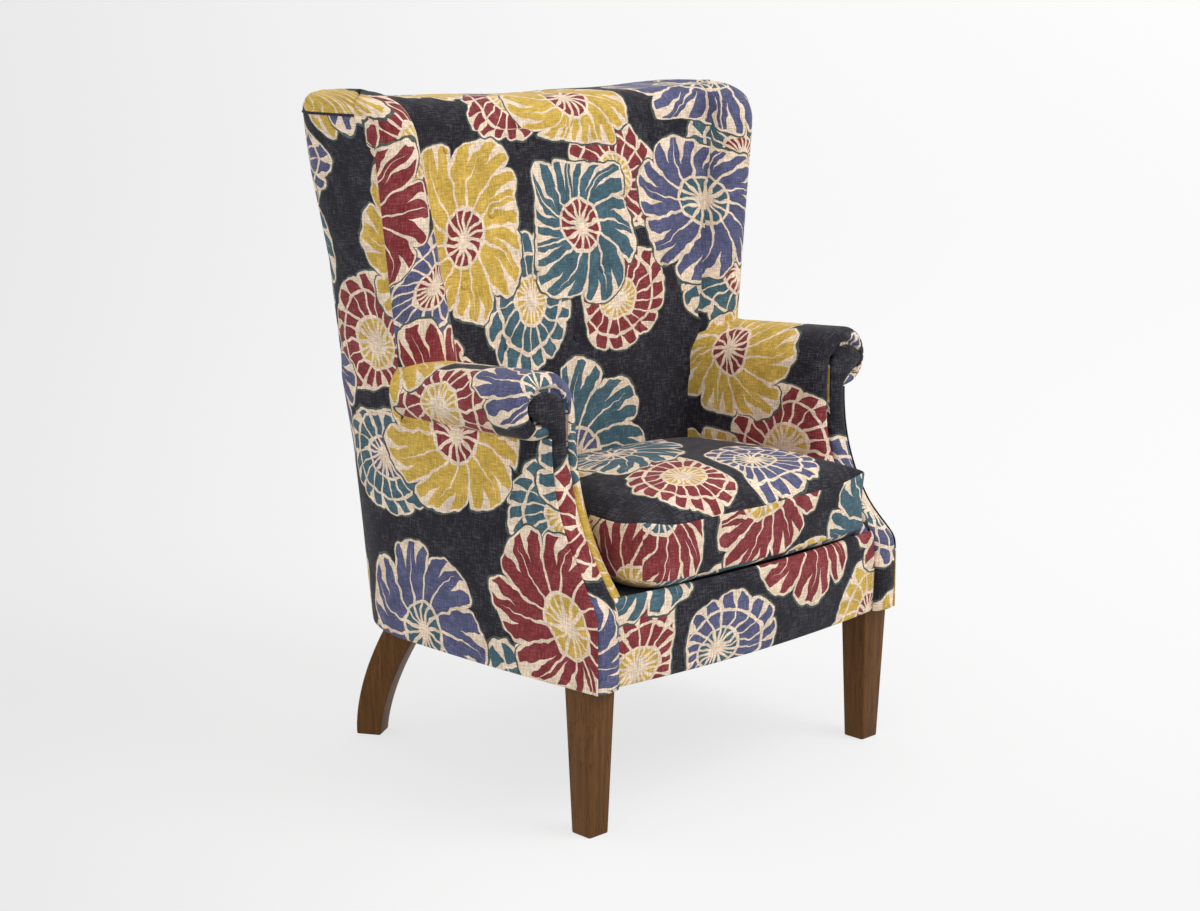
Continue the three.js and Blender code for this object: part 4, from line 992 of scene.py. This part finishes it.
def makeButtons():
    parts = []
    for spotX, spotZ in buttonSpots:
        tilt = (backFrontY(spotZ + 25) - backFrontY(spotZ - 25)) / 50
        t = np.linspace(0, 1, 10)[:, None]
        radius = button["radius"] * np.sin(t * np.pi)
        lift = button["height"] * (1 - np.cos(t * np.pi)) / 2
        a = np.linspace(0, 2 * np.pi, 25)[:-1]
        x = spotX + radius * np.cos(a)
        rise = radius * np.sin(a)
        y = insideBackY(spotX, spotZ) + button["proud"] - lift + rise * tilt
        z = spotZ + rise + lift * tilt
        uv = clothUv(clothAt["back"], x, z - body["seatTop"])
        parts.append(gridParts(grid(x, y, z), uv, closed=True))
    piece = makePiece("backButtons", parts, linen, sharp=80)
    onBody(piece, "printed_linen", *[f"back_button_{i + 1}" for i in range(len(buttonSpots))])


makeButtons()
print("buttons made")

# Outside covers: cloth over a lining, with its edges turned under.
# A level is a closed strip: the outer line one way and the inner line back.

footSteps = np.array([0, 0.5, 1.5, 4])  # levels and columns close together at the edges, mm
turnedFoot = (1.4, 0.6, 0.2)
turnedTop = (0.3, 1.2)
turnedSide = (cover["edge"], 0.5, 0.1)


def softWave(along, z):  # a slight unevenness of stretched cloth
    return cover["slack"] * (np.sin(along / 61 + z / 97) * np.sin(z / 73 + 1.3) - 0.5)


def sideRow(z, inset, aboveArm):
    # points from the front edge to the wing, to the corner and round it to the seam

    def raised(level, y):  # the upper edge follows the roll's underside
        share = np.clip((level - sweep["start"]) / (armRoll["under"] - sweep["start"]), 0, 1)
        size = rollRadius(rollShare(y))
        aside = np.clip(np.abs(sideX(y, level) - armRoll["x"]), 0, size)
        under = armRoll["z"] - armRoll["rearDrop"] * rollShare(y) - np.sqrt(size ** 2 - aside ** 2)
        return level + np.where(aboveArm, 0, (under + cover["rollGap"] - armRoll["under"]) * share ** 2)

    wingY = wingSeamY(z)
    startY = np.where(aboveArm, wingY, armFrontY(raised(z, body["frontY"])))
    frontY = mix(startY, wingY, np.concatenate([[0, 0.004, 0.012], np.linspace(0.03, 1, 30)[:-1]]))
    high = raised(z, frontY)
    r = cornerRadius(z)
    restY = mix(wingY, body["backY"] - r, np.concatenate([[0, 0.01, 0.03], np.linspace(0.06, 1, 12)[:-1]]))
    angle = np.linspace(0, 1, 20) * math.radians(cover["seamAngle"])
    x = joined(sideX(frontY, high), outerHalf(z) + 0 * restY, outerHalf(z) - r + r * np.cos(angle))
    y = joined(frontY, restY, body["backY"] - r + r * np.sin(angle))
    level = joined(high, z + 0 * y[:, high.shape[1]:])
    facingAway = np.concatenate([np.zeros(len(level[0]) - len(angle)), angle])
    # the edges turn under: the first and last points of a line lie a little deeper
    if inset:
        deep = inset
    else:
        wave = softWave(y, level) * np.clip((y - startY) / 60, 0, 1)
        deep = withEnds(y.shape[1], turnedSide, turnedSide[::-1]) - wave
    return grid(x - np.cos(facingAway) * deep, y - np.sin(facingAway) * deep, level)


def makeSideCovers():
    foot, under, seam = cover["bottom"], armRoll["under"], body["capSeam"]
    low = column(foot + footSteps, np.linspace(foot + 8, under, 70))
    high = column(np.linspace(under + 0.2, 960, 70), np.linspace(964, seam - 3, 14),
                  [seam - 1.4, seam - 0.6])
    z = np.concatenate([low, high])
    aboveArm = np.arange(len(z))[:, None] >= len(low)
    outer = sideRow(z, 0, aboveArm)
    outer[..., 0] -= withEnds(len(z), turnedFoot, turnedTop)[:, None]
    rings = shut(outer, sideRow(z, cover["thick"], aboveArm))
    wingColumn = 32
    fromWing = lengthsAlong(outer[..., :2], 1)
    fromWing = fromWing - fromWing[:, wingColumn:wingColumn + 1]
    for sideName, side in sides.items():
        uv = clothUv(clothAt["side"][side], side * shut(fromWing, fromWing), rings[..., 2])
        piece = makeLoft(f"outsideSide_{sideName}", rings, uv, linen, "printed_linen",
                         f"outside_side_{sideName}", side=side)


def makeOutsideBack():
    foot, seam = cover["bottom"], body["capSeam"]
    z = column(foot + footSteps, np.linspace(foot + 8, 996, 120), [seam - 3, seam - 1.4, seam - 0.6])
    r = cornerRadius(z)
    seamAt = math.radians(cover["seamAngle"]) + 0.35 / (r - cover["thick"])
    angle = mix(seamAt, np.pi / 2, np.concatenate([[0, 0.02, 0.05], np.linspace(0.1, 1, 14)]))

    def row(deep):
        x = outerHalf(z) - r + (r - deep) * np.cos(angle)
        y = body["backY"] - r + (r - deep) * np.sin(angle)
        middleX = x[:, -1:] * np.linspace(1, -1, 24)[1:-1]
        return grid(joined(x, middleX, -x[:, ::-1]), joined(y, y[:, -1:] + 0 * middleX, y[:, ::-1]), z)

    turned = withEnds(angle.shape[1], turnedSide) + withEnds(len(z), turnedFoot, turnedTop)[:, None]
    outer = row(turned)
    rings = shut(outer, row(cover["thick"]))
    u = lengthsAlong(outer[..., :2], 1)
    middle = u.shape[1] // 2
    u = u - u[:, middle:middle + 1]
    uv = clothUv(clothAt["outsideBack"], shut(u, u), rings[..., 2])
    piece = makeLoft("outsideBack", rings, uv, linen, "printed_linen", "outside_back")


makeSideCovers()
makeOutsideBack()
print("outside covers made")

# Welt: a thin piped edge between the cap and the outside covers, a tube along the seam

welt = {"radius": 2.1, "sunk": 0.6, "below": 0.3, "lead": 2}


def makeWelt():
    w = welt
    z = body["capSeam"]
    r = cornerRadius(z)
    outer = outerHalf(z)
    line = grid(outer, np.linspace(wingSeamY(z) - w["lead"], body["backY"] - r, 14))
    a = np.linspace(0, np.pi / 2, 14)[1:]
    bend = grid(outer - r + r * np.cos(a), body["backY"] - r + r * np.sin(a))
    half = np.concatenate([line, bend])
    path = np.concatenate([half, half[::-1] * [-1, 1]])
    step = np.gradient(path, axis=0)
    step /= np.linalg.norm(step, axis=1, keepdims=True)
    a = np.linspace(0, 2 * np.pi, 13)[None, :-1]
    outwards = w["radius"] * np.cos(a) + w["sunk"]
    high = z - w["below"] + w["radius"] * np.sin(a)
    rings = grid(path[:, :1] - step[:, 1:] * outwards, path[:, 1:] + step[:, :1] * outwards, high)
    uv = clothUv(clothAt["welt"], lengthsAlong(path[:, None, :], 0), high)
    makeLoft("capWelt", rings, uv, linen, "printed_linen", sharp=80)


makeWelt()

# Front border: a padded panel between the arm facings, bowed forward in plan

border = {
    "half": 283.9, "endY": -16, "bow": 20, "thick": 8.5, "crown": 3, "bottom": 219, "top": 348,
    "endTurn": 2.0,
    "footSteps": (0, 0.6, 2, 5), "footTurn": (2.4, 1.2, 0.4, 0),
    "topSteps": (14, 9, 5, 2.4, 0.8, 0), "topTurn": (0, 0.5, 1.7, 3.2, 5.0, 7.0),
}


def makeBorder():
    # its face turns back at the foot, the ends and the rounded top edge, by so much at each step from them
    b = border
    tall = b["top"] - b["bottom"]
    fromTop = tall - np.array(b["topSteps"])
    up = np.concatenate([b["footSteps"], np.linspace(10, fromTop[0], 30), fromTop[1:]])
    turn = np.interp(up, [*b["footSteps"], *fromTop], [*b["footTurn"], *b["topTurn"]])
    x = np.linspace(-b["half"], b["half"], 61)[:, None]
    plan = b["endY"] - b["bow"] * (1 - (x / b["half"]) ** 2)
    endTurn = b["endTurn"] * ease((np.abs(x) - (b["half"] - 4)) / 4)
    crown = b["crown"] * np.sin(up / tall * np.pi)
    z = b["bottom"] + up
    rear = plan + b["thick"] + 0 * z
    rings = shut(grid(x, plan + turn + endTurn - crown, z), grid(x, rear, z))
    uv = clothUv(clothAt["border"], rings[..., 0], rings[..., 2])
    piece = makeLoft("frontBorder", rings, uv, linen, "printed_linen", "front_border")


makeBorder()
print("border made")

# Seat deck: the padded platform under the cushion, soft at its edges, with a seam behind its front lip

deck = {"edge": 9, "lip": 95, "seam": 3, "seamWide": 4, "hollow": 2.5}


def makeDeck():
    # the top rounds down on a quarter circle at its four edges, dips at the seam and hollows in the middle
    d = deck
    low, high = [np.array(corner) * 1000 - [0, shiftY, 0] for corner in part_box("seat_deck")]
    share = (1 - np.cos(np.linspace(0, np.pi, 81))) / 2
    x = mix(low[0], high[0], share)[:, None]
    y = mix(low[1], high[1], share)
    fromEdge = np.minimum(np.minimum(x - low[0], high[0] - x), np.minimum(y - low[1], high[1] - y))
    near = np.clip(1 - fromEdge / d["edge"], 0, 1)
    drop = d["edge"] * (1 - np.sqrt(1 - near ** 2))
    seam = d["seam"] * np.exp(-np.abs(y - low[1] - d["lip"]) / d["seamWide"])
    arch = np.sin(share * np.pi)
    top = high[2] - drop - seam - d["hollow"] * arch[:, None] * arch
    rings = shut(grid(x, y, top), grid(x, y, low[2]))
    piece = makeLoft("seatDeck", rings, rings[..., :2], deckCloth, "plain_linen", "seat_deck", sharp=60)


makeDeck()
print("deck made")

# Seat cushion: a boxed cushion with a crowned top. Top and bottom are grids drawn in at the sides,
# so that the corners stand out as ears; the box between them is a band round the same edge.
# Pressure in a cloth simulation fills it, and one level of smoothing follows.

cushion = {
    "front": -34, "frontBow": 9, "bottom": 341.8, "seamLow": 357, "seamHigh": 437, "seamRear": 450, "ear": 9,
    "crown": 52, "rearShare": 0.5, "drawIn": 5, "cornerSoft": 0.06, "sideClear": 6, "backClear": 3,
    "cap": 9.0, "frames": 20, "acrossCells": 64, "deepCells": 48, "boxCells": 10, "boxIn": 3.0, "boxTall": 92,
    "topCorner": {-1: 30, 1: 8}, "lowCorner": {-1: 58, 1: 14}, "earLift": {-1: 7, 1: 6}, "earWide": 45,
}
filling = {
    "quality": 6, "mass": 0.25, "tension_stiffness": 22, "compression_stiffness": 12,
    "bending_stiffness": 0.6, "use_pressure": True, "uniform_pressure_force": 4.0,
}


def cushionPlan(u, v):
    # u across and v back, both from -1 to 1; corners pulled in a little, as on a softened square
    c = cushion
    soft = c["cornerSoft"]
    su = u * np.sqrt(1 - soft * v ** 2 / 2)
    sv = v * np.sqrt(1 - soft * u ** 2 / 2)
    depth = (sv + 1) / 2
    rear = backFrontY(c["seamRear"]) - c["backClear"]
    y = mix(c["front"], rear, depth) - np.clip(-v, 0, 1) * c["frontBow"] * (1 - u * u)
    half = mix(armPad["innerFront"], armPad["innerRear"], np.clip(depth, 0, 1)) - c["sideClear"]
    waist = 1 - c["drawIn"] / 250 * (1 - np.abs(v) ** 4)
    return su * half * waist / math.sqrt(1 - soft / 2), y


def roundFront(x, y, corners):
    # points near the two front corners drawn in along the diagonal, as on a corner of that side's radius
    c = cushion
    half = armPad["innerFront"] - c["sideClear"]
    radius = np.where(x > 0, corners[1], corners[-1])
    fromSide = np.clip(1 - (half - np.abs(x)) / radius, 0, 1)
    fromFront = np.clip(1 - (y - c["front"]) / radius, 0, 1)
    pull = 0.3 * radius * (fromSide * fromFront) ** 1.6
    return x - np.sign(x) * pull, y + pull


def places(mesh):
    flat = np.zeros(len(mesh.vertices) * 3)
    mesh.vertices.foreach_get("co", flat)
    return flat.reshape(-1, 3)


def filled(piece, rest):  # where the points lie after the cloth simulation, none moved by more than the cap
    cloth = piece.modifiers.new("fill", "CLOTH")
    for name, value in filling.items():
        setattr(cloth.settings, name, value)
    cloth.settings.effector_weights.gravity = 0
    cloth.collision_settings.use_self_collision = False
    scene = bpy.context.scene
    for frameNumber in range(1, cushion["frames"] + 1):
        scene.frame_set(frameNumber)
    shift = places(piece.evaluated_get(bpy.context.evaluated_depsgraph_get()).to_mesh()) - rest
    piece.modifiers.remove(cloth)
    scene.frame_set(1)
    far = np.linalg.norm(shift, axis=1, keepdims=True)
    print("cushion moved at most", round(float(far.max()) * 1000, 1), "mm")
    return rest + shift * np.minimum(1, cushion["cap"] / 1000 / np.maximum(far, 1e-9)) * 0.999


def makeCushion():
    c = cushion
    across, deep = c["acrossCells"], c["deepCells"]
    u, v = np.meshgrid(np.linspace(-1, 1, across + 1), np.linspace(-1, 1, deep + 1))
    x, y = cushionPlan(u, v)
    depth = (v + 1) / 2
    ears = c["ear"] * (np.abs(u) ** 6) * (np.clip(-v, 0, 1) ** 4)
    dome = ((1 - np.abs(u) ** 2.6) * (1 - np.abs(v) ** 2.6)) ** 0.62
    topZ = mix(c["seamHigh"], c["seamRear"], depth) + ears + c["crown"] * dome * mix(1, c["rearShare"], depth)
    lowDome = ((1 - np.abs(u) ** 4) * (1 - np.abs(v) ** 4)) ** 0.5
    lowZ = mix(c["seamLow"] + 5 * np.abs(u) ** 4, c["bottom"], lowDome)
    top = grid(*roundFront(x, y, c["topCorner"]), topZ)
    low = grid(*roundFront(x, y, c["lowCorner"]), lowZ)
    # edge of the grid, once round, starting at the front left
    alongFront, alongSide = np.arange(across), np.arange(deep)
    rows = np.concatenate([0 * alongFront, alongSide, deep + 0 * alongFront, deep - alongSide])
    cols = np.concatenate([alongFront, across + 0 * alongSide, across - alongFront, 0 * alongSide])
    topEdge = top[rows, cols]
    t = np.linspace(0, 1, c["boxCells"] + 1)[:, None, None]
    band = mix(low[rows, cols], topEdge, t)
    out = (band - [0, 150, 0]) * [1, 1, 0]
    band = band - out / np.linalg.norm(out, axis=-1, keepdims=True) * np.sin(t * np.pi) * c["boxIn"]
    band = np.concatenate([band, band[:, :1]], axis=1)
    around = lengthsAlong(np.concatenate([topEdge, topEdge[:1]])[:, None, :], 0)[:, 0]
    bandUv = clothUv(clothAt["cushionBand"], around, t[..., 0] * c["boxTall"])
    parts = [gridParts(top, clothUv(clothAt["cushion"], x, y), closed=False),
             gridParts(low, clothUv(clothAt["cushionUnder"], x, y), closed=False),
             gridParts(band, bandUv, closed=False)]
    piece = makePiece("seatCushion", parts, linen, sharp=70)
    mesh = piece.data
    rest = places(mesh)
    shape = filled(piece, rest)
    # the filled corners sink, so the two front ears are lifted again
    earX = (armPad["innerFront"] - c["sideClear"] - 8) / 1000
    earY = (c["front"] + shiftY) / 1000
    away = np.hypot(np.abs(rest[:, 0]) - earX, rest[:, 1] - earY) / (c["earWide"] / 1000)
    upper = np.clip((rest[:, 2] * 1000 - c["seamLow"]) / (c["seamHigh"] - c["seamLow"]), 0, 1)
    lift = np.where(rest[:, 0] > 0, c["earLift"][1], c["earLift"][-1])
    shape[:, 2] += lift / 1000 * np.exp(-away ** 2) * upper
    shape[:, 2] = np.maximum(shape[:, 2], c["bottom"] / 1000)
    mesh.vertices.foreach_set("co", shape.astype(np.float32).ravel())
    mesh.update()
    smooth = piece.modifiers.new("smooth", "SUBSURF")
    smooth.levels = 1
    smooth.render_levels = 1
    onBody(piece, "printed_linen", "seat_cushion", bodyName="cushion")


makeCushion()
print("cushion made")
